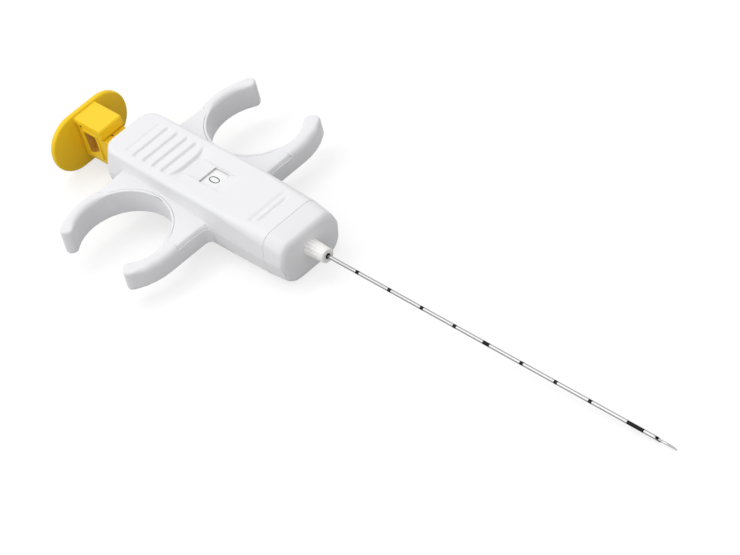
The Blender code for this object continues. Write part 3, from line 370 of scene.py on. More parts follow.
# %% [markdown]
# ## Steel and its depth marks
#
# The needle is drawn tube, centreless-ground along its length, with black rings printed every
# centimetre so that the reader can see how deep it is. The rings could be painted on an image
# that wraps the tube. They follow the distance from the hub, though, so a few Math nodes can
# work them out from the X coordinate, and they stay sharp at any zoom.

# %% Steel materials
MARK_START = 38.0 * MM
MARK_PITCH = 10.0 * MM
MARK_WIDTH = 0.1
FIRST_MARK = 0.5
LAST_MARK = 8.5
MIDDLE_MARK = (4.9, 0.1)
END_BAND = (9.24, 0.24)
MARK_BLACK = (0.009, 0.0085, 0.008, 1.0)
LINE_STRETCH = (60.0, 9000.0, 9000.0)
LINE_ROUGH = 0.12
LINE_TINT = 0.2


def ground_group():
    """Fine lines along a ground needle: a tint and a roughness that change around it."""
    group, start, end = new_group(
        "ground_lines",
        [
            ("Colour", "NodeSocketColor", (0.6, 0.6, 0.6, 1.0)),
            ("Roughness", "NodeSocketFloat", 0.25),
        ],
        [("Colour", "NodeSocketColor"), ("Roughness", "NodeSocketFloat")],
    )
    where = group.nodes.new("ShaderNodeTexCoord").outputs["Object"]
    stretch = group.nodes.new("ShaderNodeMapping")
    stretch.inputs["Scale"].default_value = LINE_STRETCH
    group.links.new(where, stretch.inputs["Vector"])
    lines = noise_node(group, stretch.outputs[0], 1.0, 2.0)
    swing = math_node(group, "SUBTRACT", lines, 0.5)
    rough = math_node(group, "MULTIPLY", swing, LINE_ROUGH)
    rough = math_node(group, "ADD", rough, start.outputs["Roughness"])
    group.links.new(rough, end.inputs["Roughness"])
    shade = math_node(group, "MULTIPLY", swing, LINE_TINT)
    shade = math_node(group, "ADD", shade, 1.0)
    tint = group.nodes.new("ShaderNodeVectorMath")
    tint.operation = "SCALE"
    group.links.new(start.outputs["Colour"], tint.inputs[0])
    group.links.new(shade, tint.inputs["Scale"])
    group.links.new(tint.outputs[0], end.inputs["Colour"])
    return group


GROUND = ground_group()


def mark_band(tree, along, band):
    """1 within half a width of a place, both counted in centimetres from the hub."""
    place, half = band
    found = math_node(tree, "COMPARE", along, place)
    found.node.inputs[2].default_value = half
    return found


def mark_mask(tree):
    """1 on the black rings of the needle, 0 between them, from the distance to the hub."""
    where = tree.nodes.new("ShaderNodeTexCoord").outputs["Object"]
    split = tree.nodes.new("ShaderNodeSeparateXYZ")
    tree.links.new(where, split.inputs[0])
    along = math_node(tree, "SUBTRACT", split.outputs["X"], MARK_START)
    along = math_node(tree, "DIVIDE", along, MARK_PITCH)
    part = math_node(tree, "FRACT", along, 0.0)
    ring = math_node(tree, "GREATER_THAN", part, 1.0 - MARK_WIDTH)
    ring = math_node(tree, "MULTIPLY", ring, math_node(tree, "LESS_THAN", along, LAST_MARK))
    ring = math_node(tree, "MULTIPLY", ring, math_node(tree, "GREATER_THAN", along, FIRST_MARK))
    for band in (MIDDLE_MARK, END_BAND):
        ring = math_node(tree, "MAXIMUM", ring, mark_band(tree, along, band))
    return ring


def steel(name, colour, roughness, marked=False):
    """Ground steel, on the needle with its black depth rings."""
    material = bpy.data.materials.new(name)
    material.use_nodes = True
    tree = material.node_tree
    shader = tree.nodes["Principled BSDF"]
    surface = tree.nodes.new("ShaderNodeGroup")
    surface.node_tree = GROUND
    surface.inputs["Colour"].default_value = (*colour, 1.0)
    surface.inputs["Roughness"].default_value = roughness
    tree.links.new(surface.outputs["Roughness"], shader.inputs["Roughness"])
    shader.inputs["Metallic"].default_value = 1.0
    if not marked:
        tree.links.new(surface.outputs["Colour"], shader.inputs["Base Color"])
        return material
    mask = mark_mask(tree)
    ink = tree.nodes.new("ShaderNodeMix")
    ink.data_type = "RGBA"
    ink.inputs["B"].default_value = MARK_BLACK
    tree.links.new(mask, ink.inputs["Factor"])
    tree.links.new(surface.outputs["Colour"], ink.inputs["A"])
    tree.links.new(ink.outputs["Result"], shader.inputs["Base Color"])
    return material


STEEL = steel("ground_steel", (0.34, 0.34, 0.345), 0.20)
MARKED_STEEL = steel("marked_needle_steel", (0.29, 0.29, 0.295), 0.17, marked=True)
SPRING_STEEL = steel("spring_steel", (0.42, 0.43, 0.45), 0.3)

FINISH_OF_NODE = {
    "upper_shell": WHITE_SHELL,
    "lower_shell": WHITE_SHELL,
    "nose_cap": WHITE_SHELL,
    "needle_hub": HUB_WHITE,
    "plunger_shaft": YELLOW,
    "thumb_pad": YELLOW,
    "number_strip": LABEL,
    "buffer_ring": RUBBER,
    "firing_spring": SPRING_STEEL,
    "stylet": STEEL,
    "cannula": MARKED_STEEL,
    "support_tube": STEEL,
    "catch_rail_left": STEEL,
    "catch_rail_right": STEEL,
    "stop_pin": STEEL,
    "spring_washer": STEEL,
}
for name, node in nodes.items():
    node.data.materials.clear()
    node.data.materials.append(FINISH_OF_NODE.get(name, NATURAL))
print("finished", len(nodes), "nodes")

# %% [markdown]
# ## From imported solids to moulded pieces
#
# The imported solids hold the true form, but a moulded piece has no knife edges, and its seams
# are hair lines and not the fit gaps that a solid model needs. Each shell could be modelled
# again from its outlines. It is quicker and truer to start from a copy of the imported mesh: join
# its loose triangles, push the faces at a seam towards their neighbour, and bevel every sharp
# edge a tenth of a millimetre.

# %% Helpers for moulded pieces
WELD = 0.001 * MM
SLIVER = 0.02 * MM
FLAT = math.radians(0.5)
SHARP = math.radians(30)
SEAM_REACH = 0.42 * MM
SEAM_PUSH = 0.25 * MM
SOFT_EDGE = 0.1 * MM
FACING = 0.9
SAME_WAY = 0.85
CORNER_SHARE = 27.0
EVERYWHERE = 1000.0
CREASE = 45.0


def merged(name):
    """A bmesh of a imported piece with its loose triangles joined."""
    builder = bmesh.new()
    builder.from_mesh(nodes[name].data)
    bmesh.ops.remove_doubles(builder, verts=builder.verts, dist=WELD)
    return builder


def seam_faces(builder, neighbours):
    """The faces that look straight at a neighbouring piece across a narrow gap."""
    found = []
    for name in neighbours:
        other = merged(name)
        tree = BVHTree.FromBMesh(other)
        other.free()
        for face in builder.faces:
            spot = face.calc_center_median()
            hit, normal, _, _ = tree.find_nearest(spot, SEAM_REACH)
            if hit is None or normal.dot(face.normal) > -FACING:
                continue
            if (hit - spot).normalized().dot(face.normal) > FACING:
                found.append(face)
    return found


def close_seams(builder, neighbours):
    """Push the faces at a seam outwards, so that only a hair line is left."""
    ways = {}
    for face in seam_faces(builder, neighbours):
        for vert in face.verts:
            known = ways.setdefault(vert, [])
            if all(face.normal.dot(way) < SAME_WAY for way in known):
                known.append(face.normal.copy())
    for vert, known in ways.items():
        for way in known:
            vert.co += SEAM_PUSH * way
    return len(ways)


def soften(builder, width, segments=2):
    """Join flat fields and round every sharp edge."""
    bmesh.ops.remove_doubles(builder, verts=builder.verts, dist=SLIVER)
    bmesh.ops.dissolve_degenerate(builder, edges=builder.edges, dist=SLIVER / 2)
    bmesh.ops.dissolve_limit(builder, angle_limit=FLAT, verts=builder.verts, edges=builder.edges)
    edges = [edge for edge in builder.edges if edge.calc_face_angle(0.0) > SHARP]
    bmesh.ops.bevel(
        builder,
        geom=edges,
        offset=width,
        offset_type="OFFSET",
        segments=segments,
        profile=0.5,
        affect="EDGES",
        clamp_overlap=False,
        material=-1,
    )
    return len(edges)


def rounder(builder, low, high, front=EVERYWHERE):
    """Cut the corners of coarse curves once more: a twelve-sided rod gets twenty-four sides."""
    low, high = math.radians(low), math.radians(high)
    edges = [edge for edge in builder.edges if low < edge.calc_face_angle(0.0) < high]
    edges = [edge for edge in edges if all(vert.co.x / MM < front for vert in edge.verts)]
    bmesh.ops.bevel(
        builder,
        geom=edges,
        offset=CORNER_SHARE,
        offset_type="PERCENT",
        segments=1,
        profile=0.5,
        affect="EDGES",
        clamp_overlap=True,
        material=-1,
    )
    return len(edges)


def make_piece(name, builder, material, crease=CREASE, sort_sides=True):
    """Turn a bmesh into a smooth piece with its material, its faces pointing outwards."""
    if sort_sides:
        bmesh.ops.recalc_face_normals(builder, faces=builder.faces)
    mesh = bpy.data.meshes.new(name)
    builder.to_mesh(mesh)
    builder.free()
    mesh.shade_smooth()
    mesh.set_sharp_from_angle(angle=math.radians(crease))
    mesh.materials.append(material)
    piece = bpy.data.objects.new(name, mesh)
    bpy.context.scene.collection.objects.link(piece)
    print(name, "has", len(mesh.polygons), "faces")
    return piece


def weigh(piece):
    """Let wide faces set the shading, so that flat fields stay flat beside a bevel."""
    weight = piece.modifiers.new("weighted", "WEIGHTED_NORMAL")
    weight.keep_sharp = True
    return piece


def takes_over(piece, name, body):
    """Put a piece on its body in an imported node's place, and hide that node."""
    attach(piece, body)
    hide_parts(name)
    return piece


# %% [markdown]
# ## The upper shell
#
# Its top carries the thumb's grip: five steps like the teeth of a worn saw, each with a steep
# side towards the needle, and then a floor that falls towards the window and climbs again in
# front of it. These forms run softly into the flat top, which bevels alone can't do. So the
# copy's top is levelled first and cut into narrow rows and columns with bisect_plane. Every
# point of that net is then moved up or down by what a short rule says for its place.

# %% Relief of the grip and the window's scoop
STEPS = ((-21.25, 0.16), (-18.6, 0.50), (-15.3, 0.56), (-12.2, 0.58), (-9.1, 0.60))
STEP_WALL = 0.48
STEP_RUN = 2.7
STEP_CURVE = 1.6
STEP_HALF = 5.7
STEP_SIDE_WALL = 0.45
GRIP_LIFT = 0.13
GRIP_REAR = -22.0
GRIP_RISE = 14.0
GRIP_HALF = 6.1
GRIP_FADE = 0.9
LAST_STEP = -9.1
FOOT_POWER = 3.0
SCOOP_START = -5.4
SCOOP_HALF = 6.1
SCOOP_WALL = 0.40
SCOOP_SHALLOW = 0.48
SCOOP_DEEP = 0.70
SCOOP_END = 8.7
SCOOP_SIDE = 3.05
SCOOP_SIDE_WALL = 0.22
SLOT_X = 0.2
LABEL_END = 5.0
HOLLOW_DEPTH = 0.60
HOLLOW_HALF = 2.5
HOLLOW_FADE_Y = 3.6
HOLLOW_LEAD = 0.6
HOLLOW_FADE_X = 4.5
PROBES = (-18.0, -7.0, -5.5, 0.0, 7.0)


def smooth(value):
    """0 below 0, 1 above 1 and a soft S between."""
    value = min(max(value, 0.0), 1.0)
    return value * value * (3.0 - 2.0 * value)


def grip_height(x, y):
    """The ribbed field: how high it stands above the level top, in millimetres."""
    ends = smooth((GRIP_HALF - abs(y)) / GRIP_FADE)
    height = GRIP_LIFT * smooth((x - GRIP_REAR) / GRIP_RISE) * ends
    side = smooth((STEP_HALF - abs(y)) / STEP_SIDE_WALL)
    for wall_x, depth in STEPS:
        wall = smooth((x - wall_x) / STEP_WALL + 0.5)
        run = min(max((x - wall_x) / STEP_RUN, 0.0), 1.0)
        height -= depth * side * wall * (1.0 - run) ** STEP_CURVE
    return height


def scoop_depth(x, y):
    """The floor in front of the last step: how far it lies below the level top."""
    if x < SLOT_X:
        fall = smooth((x - SCOOP_START) / (SLOT_X - SCOOP_START))
        floor = SCOOP_SHALLOW + (SCOOP_DEEP - SCOOP_SHALLOW) * fall
    elif x < LABEL_END:
        floor = SCOOP_DEEP
    else:
        floor = SCOOP_DEEP * (1.0 - smooth((x - LABEL_END) / (SCOOP_END - LABEL_END)))
    near = smooth((SCOOP_SIDE - abs(y)) / SCOOP_SIDE_WALL)
    wide = 1.0 - smooth((abs(y) - HOLLOW_HALF) / HOLLOW_FADE_Y)
    fade = 1.0 - smooth((x - SCOOP_START + HOLLOW_LEAD) / HOLLOW_FADE_X)
    return max(floor * near, HOLLOW_DEPTH * wide * fade)


def step_foot(y):
    """Where the last step's foot lies: a straight front with round corners."""
    share = min(abs(y) / SCOOP_HALF, 1.0)
    bow = (1.0 - share**FOOT_POWER) ** (1.0 / FOOT_POWER)
    return LAST_STEP + (SCOOP_START - LAST_STEP) * bow


def top_relief(x, y):
    """The relief of the whole top, in millimetres."""
    front = smooth((x - step_foot(y)) / SCOOP_WALL + 1.0)
    return (1.0 - front) * grip_height(x, y) - front * scoop_depth(x, y)


for x in PROBES:
    print("relief at", x, "is", round(top_relief(x, 0.0), 2), "mm")

# %% Relief of the two lines before the cap
LINES = ((20.3, 0.55, 0.30, 5.6), (22.0, 0.30, 0.34, 4.5))
LINE_FADE = 0.5


def line_relief(x, y):
    """Two shallow lines across the top: a broad soft one and a narrow crisp one."""
    height = 0.0
    for line_x, width, depth, half in LINES:
        side = smooth((half - abs(y)) / LINE_FADE)
        height -= depth * side * math.exp(-(((x - line_x) / width) ** 2))
    return height


# %% Net over the level top
Field = namedtuple("Field", "low high half step_x step_y extra level relief")
TOP_FLOOR = 11.6
ABOVE = 30.0
BESIDE_GRIP = 6.65
LINES_REAR = 18.8
LINES_FRONT = 23.6
EDGE = 0.02
CUT_REACH = 0.01 * MM
packed_upper = merged("upper_shell")
PACKED_TOP = BVHTree.FromBMesh(packed_upper)
packed_upper.free()


def packed_top(x, y):
    """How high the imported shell's top is at a place, in millimetres."""
    start = Vector((x * MM, y * MM, ABOVE * MM))
    hit = PACKED_TOP.ray_cast(start, Vector((0.0, 0.0, -1.0)))
    return hit[0].z / MM


def level_by_grip(x, y):
    """The flat top beside the grip, which the relief doesn't reach."""
    return packed_top(x, BESIDE_GRIP)


def level_by_lines(x, y):
    """The top across the two lines, drawn straight from behind them to before them."""
    share = (x - LINES_REAR) / (LINES_FRONT - LINES_REAR)
    return packed_top(LINES_REAR, y) * (1.0 - share) + packed_top(LINES_FRONT, y) * share


FIELDS = (
    Field(
        low=-23.6,
        high=9.4,
        half=6.7,
        step_x=0.14,
        step_y=0.3,
        extra=(2.84, 2.92, 3.0, 3.08),
        level=level_by_grip,
        relief=top_relief,
    ),
    Field(
        low=LINES_REAR,
        high=LINES_FRONT,
        half=6.2,
        step_x=0.16,
        step_y=0.5,
        extra=(),
        level=level_by_lines,
        relief=line_relief,
    ),
)


def in_field(place, field, reach=0.0):
    """Whether a point lies on the top inside a field, or no further than reach outside it."""
    x, y, z = place / MM
    inside = field.low - reach < x < field.high + reach and abs(y) < field.half + reach
    return inside and z > TOP_FLOOR


def cut_at(builder, faces, axis, spot):
    """Cut these faces, with their edges and points, across an axis."""
    edges = list({edge for face in faces for edge in face.edges})
    verts = list({vert for face in faces for vert in face.verts})
    plane = Vector((0.0, 0.0, 0.0))
    plane[axis] = spot * MM
    normal = Vector((0.0, 0.0, 0.0))
    normal[axis] = 1.0
    geom = list(faces) + edges + verts
    bmesh.ops.bisect_plane(builder, geom=geom, dist=CUT_REACH, plane_co=plane, plane_no=normal)


def cut_border(builder, field):
    """Cut the top along a field's four sides."""
    for axis, spot in ((0, field.low), (0, field.high), (1, -field.half), (1, field.half)):
        top = [f for f in builder.faces if f.calc_center_median().z > TOP_FLOOR * MM]
        cut_at(builder, top, axis, spot)


def level_field(builder, field):
    """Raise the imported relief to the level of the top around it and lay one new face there."""
    moved = [vert for vert in builder.verts if in_field(vert.co, field)]
    for vert in moved:
        vert.co.z = field.level(vert.co.x / MM, vert.co.y / MM) * MM
    cut_border(builder, field)
    old = [f for f in builder.faces if all(in_field(v.co, field, EDGE) for v in f.verts)]
    bmesh.ops.delete(builder, geom=old, context="FACES")
    bmesh.ops.remove_doubles(builder, verts=builder.verts, dist=SLIVER)
    rim = [e for e in builder.edges if len(e.link_faces) == 1]
    bmesh.ops.triangle_fill(builder, edges=rim, use_beauty=True, use_dissolve=True)
    return len(moved), len(rim)


def cut_net(builder, field):
    """Cut a field into narrow rows and columns."""
    cut_border(builder, field)
    columns = int((field.high - field.low) / field.step_x)
    rows = int(2.0 * field.half / field.step_y)
    cuts = [(0, field.low + k * field.step_x) for k in range(1, columns)]
    cuts += [(1, -field.half + k * field.step_y) for k in range(1, rows)]
    cuts += [(1, side * spot) for spot in field.extra for side in (-1.0, 1.0)]
    for axis, spot in cuts:
        faces = [f for f in builder.faces if in_field(f.calc_center_median(), field)]
        cut_at(builder, faces, axis, spot)
    return len(cuts)


def press_field(builder, field):
    """Move each point of the net up or down by the relief's rule."""
    moved = [vert for vert in builder.verts if in_field(vert.co, field)]
    for vert in moved:
        vert.co.z += field.relief(vert.co.x / MM, vert.co.y / MM) * MM
    return len(moved)


# %% Upper shell
upper = merged("upper_shell")
print("seam points moved:", close_seams(upper, ("lower_shell", "nose_cap")))
for field in FIELDS:
    print("relief points levelled:", level_field(upper, field))
print("edges softened:", soften(upper, SOFT_EDGE))
for field in FIELDS:
    print("cuts made:", cut_net(upper, field), "points pressed:", press_field(upper, field))
upper_piece = weigh(make_piece("moulded_upper_shell", upper, WHITE_SHELL))
takes_over(upper_piece, "upper_shell", "handle")

# %% [markdown]
# ## The lower shell and the nose cap
#
# Both finger rests are part of the lower shell. Their tips are rounded like fingertips, so the
# ends are cut into small fields and smoothed, which rounds all their edges together. A bevel
# can't do that where several round edges meet. Everything else only gets its soft edges.

# %% Lower shell and nose cap
TIP_FROM = 27.2
TIP_CUT = 0.45
TIP_PASSES = 7
TIP_MARGIN = 0.5
TIP_ROWS = 9
TIP_COLUMNS = (-24.0, 80)
TIP_LAYERS = (0.5, 21)
CAP_CORNERS = (8.0, 28.0)


def in_tip(place, reach=0.0):
    """Whether a point lies in the end of a finger rest."""
    return abs(place.y) / MM > TIP_FROM + reach


def round_tips(builder):
    """Cut the rests' ends into small fields and smooth them."""
    rows = [TIP_FROM + k * TIP_CUT for k in range(TIP_ROWS)]
    spots = [(1, side * row) for row in rows for side in (-1.0, 1.0)]
    for axis, (start, count) in ((0, TIP_COLUMNS), (2, TIP_LAYERS)):
        spots += [(axis, start + k * TIP_CUT) for k in range(count)]
    for axis, spot in spots:
        faces = [f for f in builder.faces if any(in_tip(v.co, -TIP_MARGIN) for v in f.verts)]
        cut_at(builder, faces, axis, spot)
    verts = [vert for vert in builder.verts if in_tip(vert.co, TIP_CUT)]
    for _ in range(TIP_PASSES):
        bmesh.ops.smooth_vert(
            builder, verts=verts, factor=0.5, use_axis_x=True, use_axis_y=True, use_axis_z=True
        )
    return len(verts)


for node_name, neighbours in (("lower_shell", ("nose_cap",)), ("nose_cap", ())):
    builder = merged(node_name)
    print(node_name, "seam points moved:", close_seams(builder, neighbours))
    print(node_name, "edges softened:", soften(builder, SOFT_EDGE))
    if node_name == "lower_shell":
        print("tip points smoothed:", round_tips(builder))
    else:
        print("cap corners rounded:", rounder(builder, *CAP_CORNERS))
    piece = weigh(make_piece("moulded_" + node_name, builder, WHITE_SHELL))
    takes_over(piece, node_name, "handle")

# %% [markdown]
# ## The plunger
#
# The yellow thumb pad and its core are thicker plastic with broader edges, so their bevel is a
# little wider. The pocket in the core's side is deep, and its faces get a rougher material of
# their own whose darker brown is painted shade: it stands in for the shade inside the pocket.
# Two tiny pits are small dished discs that sit in the surface, painted near black: painted shade
# of two small holes.

# %% Plunger
PLUNGER_EDGE = 0.14 * MM
PLATE_FRONT = -42.1
POCKET_SIDE = 2.75
POCKET_X = (-41.2, -33.5)
POCKET_Z = (1.2, 9.6)
POCKET_FACE = 40.0 * MM * MM
PAD_CORNERS = (5.0, 28.0)
# Painted shade: the pocket's darker brown stands in for the shade inside the pocket.
POCKET_PAINTED_SHADE = plastic("pocket_painted_shade", (0.66, 0.38, 0.06), 0.6, MIDDLE_GRAIN, shine=0.2)
# Painted shade: the pits' near-black brown stands in for the shade inside two small holes.
PIT_PAINTED_SHADE = plastic("painted_shade_pit", (0.10, 0.055, 0.012), 0.7, MIDDLE_GRAIN, shine=0.1)


def in_pocket(place):
    """Whether a point lies inside the core's side pocket."""
    x, y, z = place / MM
    deep = abs(y) < POCKET_SIDE
    return deep and POCKET_X[0] < x < POCKET_X[1] and POCKET_Z[0] < z < POCKET_Z[1]


for node_name in ("thumb_pad", "plunger_shaft"):
    builder = merged(node_name)
    print(node_name, "edges softened:", soften(builder, PLUNGER_EDGE, segments=3))
    if node_name == "thumb_pad":
        print("pad corners rounded:", rounder(builder, *PAD_CORNERS, PLATE_FRONT))
    else:
        # The pocket's small faces take the second slot, the painted shade.
        for face in builder.faces:
            if in_pocket(face.calc_center_median()) and face.calc_area() < POCKET_FACE:
                face.material_index = 1
    piece = weigh(make_piece("moulded_" + node_name, builder, YELLOW))
    if node_name == "plunger_shaft":
        piece.data.materials.append(POCKET_PAINTED_SHADE)
    takes_over(piece, node_name, "plunger")

# %% Pits of painted shade
# Two small dished discs, painted near black as the shade inside two small holes.
PITS = (
    ((-40.40, -3.20, 8.72), (0.0, -1.0, 0.0), 0.26),
    ((-32.62, -0.52, 7.60), (0.0, 0.0, 1.0), 0.24),
)
PIT_POINTS = 20
PIT_RIM = 0.06 * MM
PIT_DISH = 0.02 * MM
PIT_PROUD = 0.04 * MM


def make_pit(place, way, radius):
    """A small closed disc with a dished middle, turned to face a way."""
    builder = bmesh.new()
    bmesh.ops.create_circle(builder, cap_ends=True, segments=PIT_POINTS, radius=radius * MM)
    rim = bmesh.ops.inset_region(builder, faces=list(builder.faces), thickness=PIT_RIM)
    middle = [f for f in builder.faces if f not in rim["faces"]]
    sunk = bmesh.ops.extrude_face_region(builder, geom=middle, use_keep_orig=True)["geom"]
    sunk = [item for item in sunk if isinstance(item, bmesh.types.BMVert)]
    bmesh.ops.translate(builder, verts=sunk, vec=(0.0, 0.0, -PIT_DISH))
    bmesh.ops.translate(builder, verts=builder.verts, vec=(0.0, 0.0, PIT_PROUD))
    turn = Vector(way).to_track_quat("Z", "Y").to_matrix()
    bmesh.ops.rotate(builder, verts=builder.verts, matrix=turn)
    bmesh.ops.translate(builder, verts=builder.verts, vec=Vector(place) * MM)
    return builder


for number, pit_form in enumerate(PITS, start=1):
    pit = make_piece("painted_shade_pit_" + str(number), make_pit(*pit_form), PIT_PAINTED_SHADE)
    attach(pit, "plunger")

# %% [markdown]
# ## The needle's hub
#
# The small hub that holds the needle is a turned shape with finger flutes, deep at the nose and
# gone at the tip. One way is to cut twelve grooves. It is simpler to draw one ring of points,
# extrude it from station to station, and pull the points of each ring in where a flute runs,
# less and less towards the tip. The last rings turn back inwards and line the bore. A station
# below is a place along the needle, a radius and a flute's depth, in millimetres.

# %% Hub
HUB_STATIONS = (
    (31.25, 2.15, 0.34), (32.6, 2.12, 0.40), (33.1, 2.04, 0.36), (33.9, 1.98, 0.30),
    (34.9, 1.92, 0.22), (36.0, 1.86, 0.14), (37.0, 1.81, 0.06), (37.6, 1.78, 0.02),
    (37.85, 1.72, 0.0), (37.97, 1.60, 0.0), (38.0, 1.48, 0.0), (38.0, 0.72, 0.0),
    (37.94, 0.66, 0.0), (37.4, 0.64, 0.0), (31.25, 0.64, 0.0),
)
HUB_FLUTES = 12
HUB_AXIS_Z = 6.3
HUB_POINTS = 144
FLUTE_SHARPNESS = 3
BORE_FROM = 12
HUB_CREASE = 60.0
# Painted shade: the bore's faces get a near-black material that stands in for the shade deep in
# the bore.
BORE_PAINTED_SHADE = plastic("bore_shade", (0.05, 0.048, 0.045), 0.7, FINE_GRAIN)


def flute(angle):
    """1 in the middle of a flute and 0 on the rib between two."""
    return (0.5 + 0.5 * math.cos(HUB_FLUTES * angle)) ** FLUTE_SHARPNESS


def start_ring(count, cap_ends=False):
    """A bmesh with one ring of points around the needle's line."""
    builder = bmesh.new()
    bmesh.ops.create_circle(builder, cap_ends=cap_ends, segments=count, radius=MM)
    bmesh.ops.rotate(builder, verts=builder.verts, matrix=Matrix.Rotation(math.pi / 2, 3, "Y"))
    bmesh.ops.translate(builder, verts=builder.verts, vec=(0.0, 0.0, HUB_AXIS_Z * MM))
    return builder


def next_ring(builder, edges):
    """Extrude a ring's edges, and return the new edges, points and faces."""
    grown = bmesh.ops.extrude_edge_only(builder, edges=edges)["geom"]
    kinds = (bmesh.types.BMEdge, bmesh.types.BMVert, bmesh.types.BMFace)
    return [[item for item in grown if isinstance(item, kind)] for kind in kinds]


def place_ring(ring, station, radius, depth):
    """Put a ring of points at a station, pulled in at the flutes."""
    for vert in ring:
        angle = math.atan2(vert.co.z - HUB_AXIS_Z * MM, vert.co.y)
        reach = (radius - depth * flute(angle)) * MM
        vert.co.x = station * MM
        vert.co.y = reach * math.cos(angle)
        vert.co.z = HUB_AXIS_Z * MM + reach * math.sin(angle)


def make_hub():
    """Extrude the ring through every station and close it on itself."""
    builder = start_ring(HUB_POINTS)
    place_ring(builder.verts, *HUB_STATIONS[0])
    first = edges = list(builder.edges)
    for number, station in enumerate(HUB_STATIONS[1:], start=1):
        edges, ring, faces = next_ring(builder, edges)
        place_ring(ring, *station)
        # From station BORE_FROM on, the faces line the bore and take the painted shade.
        for face in faces:
            face.material_index = int(number >= BORE_FROM)
    bmesh.ops.bridge_loops(builder, edges=first + edges)
    return builder


hub_piece = make_piece("fluted_hub", make_hub(), HUB_WHITE, crease=HUB_CREASE)
hub_piece.data.materials.append(BORE_PAINTED_SHADE)
takes_over(hub_piece, "needle_hub", "handle")

# %% [markdown]
# ## The needle
#
# The outer tube ends in a slanted, sharpened edge, and the pointed stylet shows inside it. The
# packed tube has few sides, so this one is drawn again with forty-eight: a ring is extruded
# along the outside, in over the end and back along the bore, and the end is slanted by sliding
# its points back by their height. The edge of the slanted end is kept sharp in the shading. If
# it were smoothed, it would bend the light along the whole length of the needle's long faces.

# %% Needle tube and stylet
NEEDLE_POINTS = 48
NEEDLE_RADIUS = 0.45
NEEDLE_BORE = 0.35
NEEDLE_SLANT = 1.6
NEEDLE_CREASE = 28.0
ROD_CORNERS = (20.0, 40.0)
needle_low, needle_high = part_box("cannula")
needle_ends = (needle_low.x / MM, needle_high.x / MM)


def make_tube(rear, tip, outer, bore, slant):
    """A tube along X whose front end is cut on a slant, its point on the lower side."""
    builder = start_ring(NEEDLE_POINTS)
    steps = ((rear, outer, 0.0), (tip, outer, slant), (tip, bore, slant), (rear, bore, 0.0))
    ring, edges, first = list(builder.verts), list(builder.edges), list(builder.edges)
    for number, (station, radius, back) in enumerate(steps):
        if number:
            edges, ring, _ = next_ring(builder, edges)
        place_ring(ring, station, radius, 0.0)
        for vert in ring:
            height = vert.co.z / MM - HUB_AXIS_Z + outer
            vert.co.x -= back * height / (2.0 * outer) * MM
    bmesh.ops.bridge_loops(builder, edges=first + edges)
    return builder


tube = make_tube(*needle_ends, NEEDLE_RADIUS, NEEDLE_BORE, NEEDLE_SLANT)
needle = make_piece("needle_tube", tube, MARKED_STEEL, crease=NEEDLE_CREASE)
takes_over(needle, "cannula", "needle_drive")

rod = merged("stylet")
bmesh.ops.dissolve_limit(rod, angle_limit=FLAT, verts=rod.verts, edges=rod.edges)
print("stylet edges rounded:", rounder(rod, *ROD_CORNERS))
stylet = make_piece("pointed_stylet", rod, STEEL, crease=NEEDLE_CREASE)
takes_over(stylet, "stylet", "plunger")

# %% [markdown]
# ## The firing spring
#
# The spring is coiled from round wire on a mandrel, and its two end turns are closed so that
# they sit flat. A Screw modifier could sweep one circle, but the pitch changes at the ends, so
# the circle is extruded along the computed path instead. The spring stays on the handle.

# %% Firing spring
WIRE = 0.32
COIL_RADIUS = 2.1
COIL_TURNS = 9
COIL_STEPS = 36
WIRE_POINTS = 10
COIL_CREASE = 50.0
CLOSED_PITCH = 2.1 * WIRE
spring_low, spring_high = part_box("firing_spring")


def coil_point(turns, start, end):
    """A point of the wire's middle line, by the turns made so far."""
    open_turns = COIL_TURNS - 2
    pitch = (end - start - 2.0 * CLOSED_PITCH) / open_turns
    x = start + min(turns, 1.0) * CLOSED_PITCH
    x += min(max(turns - 1.0, 0.0), open_turns) * pitch
    x += max(turns - 1.0 - open_turns, 0.0) * CLOSED_PITCH
    angle = 2.0 * math.pi * turns
    return Vector((x, COIL_RADIUS * math.cos(angle), HUB_AXIS_Z + COIL_RADIUS * math.sin(angle)))


def make_coil(start, end):
    """Extrude a ring of the wire's section along the coil, and cap both ends."""
    builder = start_ring(WIRE_POINTS, cap_ends=True)
    ring, edges = list(builder.verts), list(builder.edges)
    middle = Vector((0.0, 0.0, HUB_AXIS_Z))
    for step in range(COIL_TURNS * COIL_STEPS + 1):
        turns = step / COIL_STEPS
        spot = coil_point(turns, start, end)
        if step:
            edges, ring, _ = next_ring(builder, edges)
        out = (Vector((0.0, spot.y, spot.z)) - middle).normalized()
        for number, vert in enumerate(ring):
            turn = 2.0 * math.pi * number / WIRE_POINTS
            side = out * math.cos(turn) + Vector((1.0, 0.0, 0.0)) * math.sin(turn)
            vert.co = (spot + side * WIRE) * MM
    bmesh.ops.holes_fill(builder, edges=edges, sides=WIRE_POINTS)
    return builder


spring_ends = (spring_low.x / MM + WIRE, spring_high.x / MM - WIRE)
coil_form = make_coil(*spring_ends)
coil = make_piece("coil_spring", coil_form, SPRING_STEEL, crease=COIL_CREASE)
takes_over(coil, "firing_spring", "handle")
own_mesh(coil)

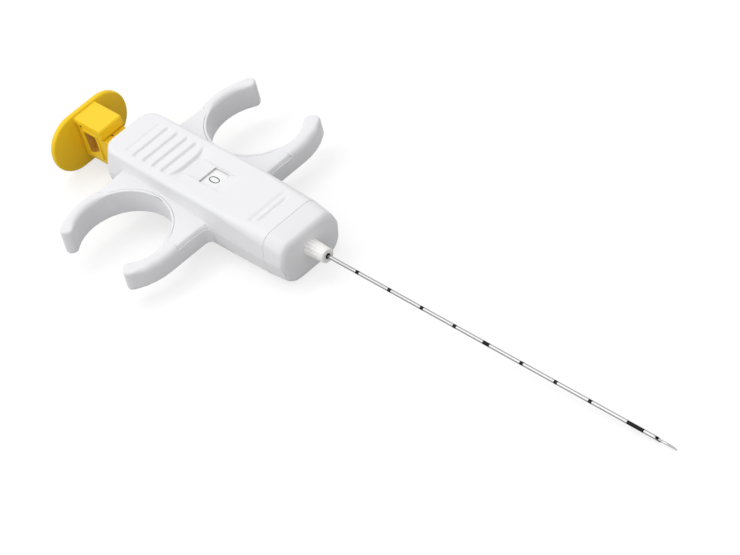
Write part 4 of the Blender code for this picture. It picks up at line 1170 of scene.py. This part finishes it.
# %% [markdown]
# ## The numbers on the strip
#
# The strip under the window tells how far the needle drive is cocked: 0, 10 and 20. On the real
# strip they are printed. Here each is a text, given a hair of thickness, made a mesh and laid
# on the strip, so that it stays a clean shape in the exported model too. A text's faces already
# point outwards, and sorting them again can turn so thin a digit inside out.

# %% Numbers
DIGIT_HEIGHT = 3.0 * MM
DIGIT_LIFT = 0.02 * MM
TEXT_EXTRUDE = 0.02
TEXT_THINNING = -0.02
TEXT_WELD = 0.0001
INK = plastic("printed_ink", (0.035, 0.05, 0.045), 0.5, FINE_GRAIN)
strip_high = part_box("number_strip")[1]
NUMBER_PLACES = (("0", 2.6 * MM), ("10", 12.6 * MM), ("20", 22.6 * MM))


def number_mesh(label):
    """A flat number as a mesh, centred on the origin and one digit-height tall."""
    curve = bpy.data.curves.new("number_" + label, "FONT")
    curve.body = label
    curve.align_x = "CENTER"
    curve.align_y = "CENTER"
    curve.extrude = TEXT_EXTRUDE
    curve.offset = TEXT_THINNING
    holder = bpy.data.objects.new("number_source", curve)
    bpy.context.scene.collection.objects.link(holder)
    bpy.context.view_layer.update()
    graph = bpy.context.evaluated_depsgraph_get()
    mesh = bpy.data.meshes.new_from_object(holder.evaluated_get(graph))
    bpy.data.objects.remove(holder)
    return mesh


for label, station in NUMBER_PLACES:
    builder = bmesh.new()
    builder.from_mesh(number_mesh(label))
    bmesh.ops.remove_doubles(builder, verts=builder.verts, dist=TEXT_WELD)
    heights = [vert.co.y for vert in builder.verts]
    middle = (max(heights) + min(heights)) / 2
    bmesh.ops.translate(builder, verts=builder.verts, vec=(0.0, -middle, 0.0))
    scale = DIGIT_HEIGHT / (max(heights) - min(heights))
    thinning = DIGIT_LIFT / (2.0 * TEXT_EXTRUDE)
    bmesh.ops.scale(builder, verts=builder.verts, vec=(scale, scale, thinning))
    bmesh.ops.rotate(builder, verts=builder.verts, matrix=Matrix.Rotation(math.pi / 2, 3, "Z"))
    spot = (station, 0.0, strip_high.z + DIGIT_LIFT / 2)
    bmesh.ops.translate(builder, verts=builder.verts, vec=spot)
    number = make_piece("number_" + label, builder, INK, sort_sides=False)
    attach(number, "needle_drive")
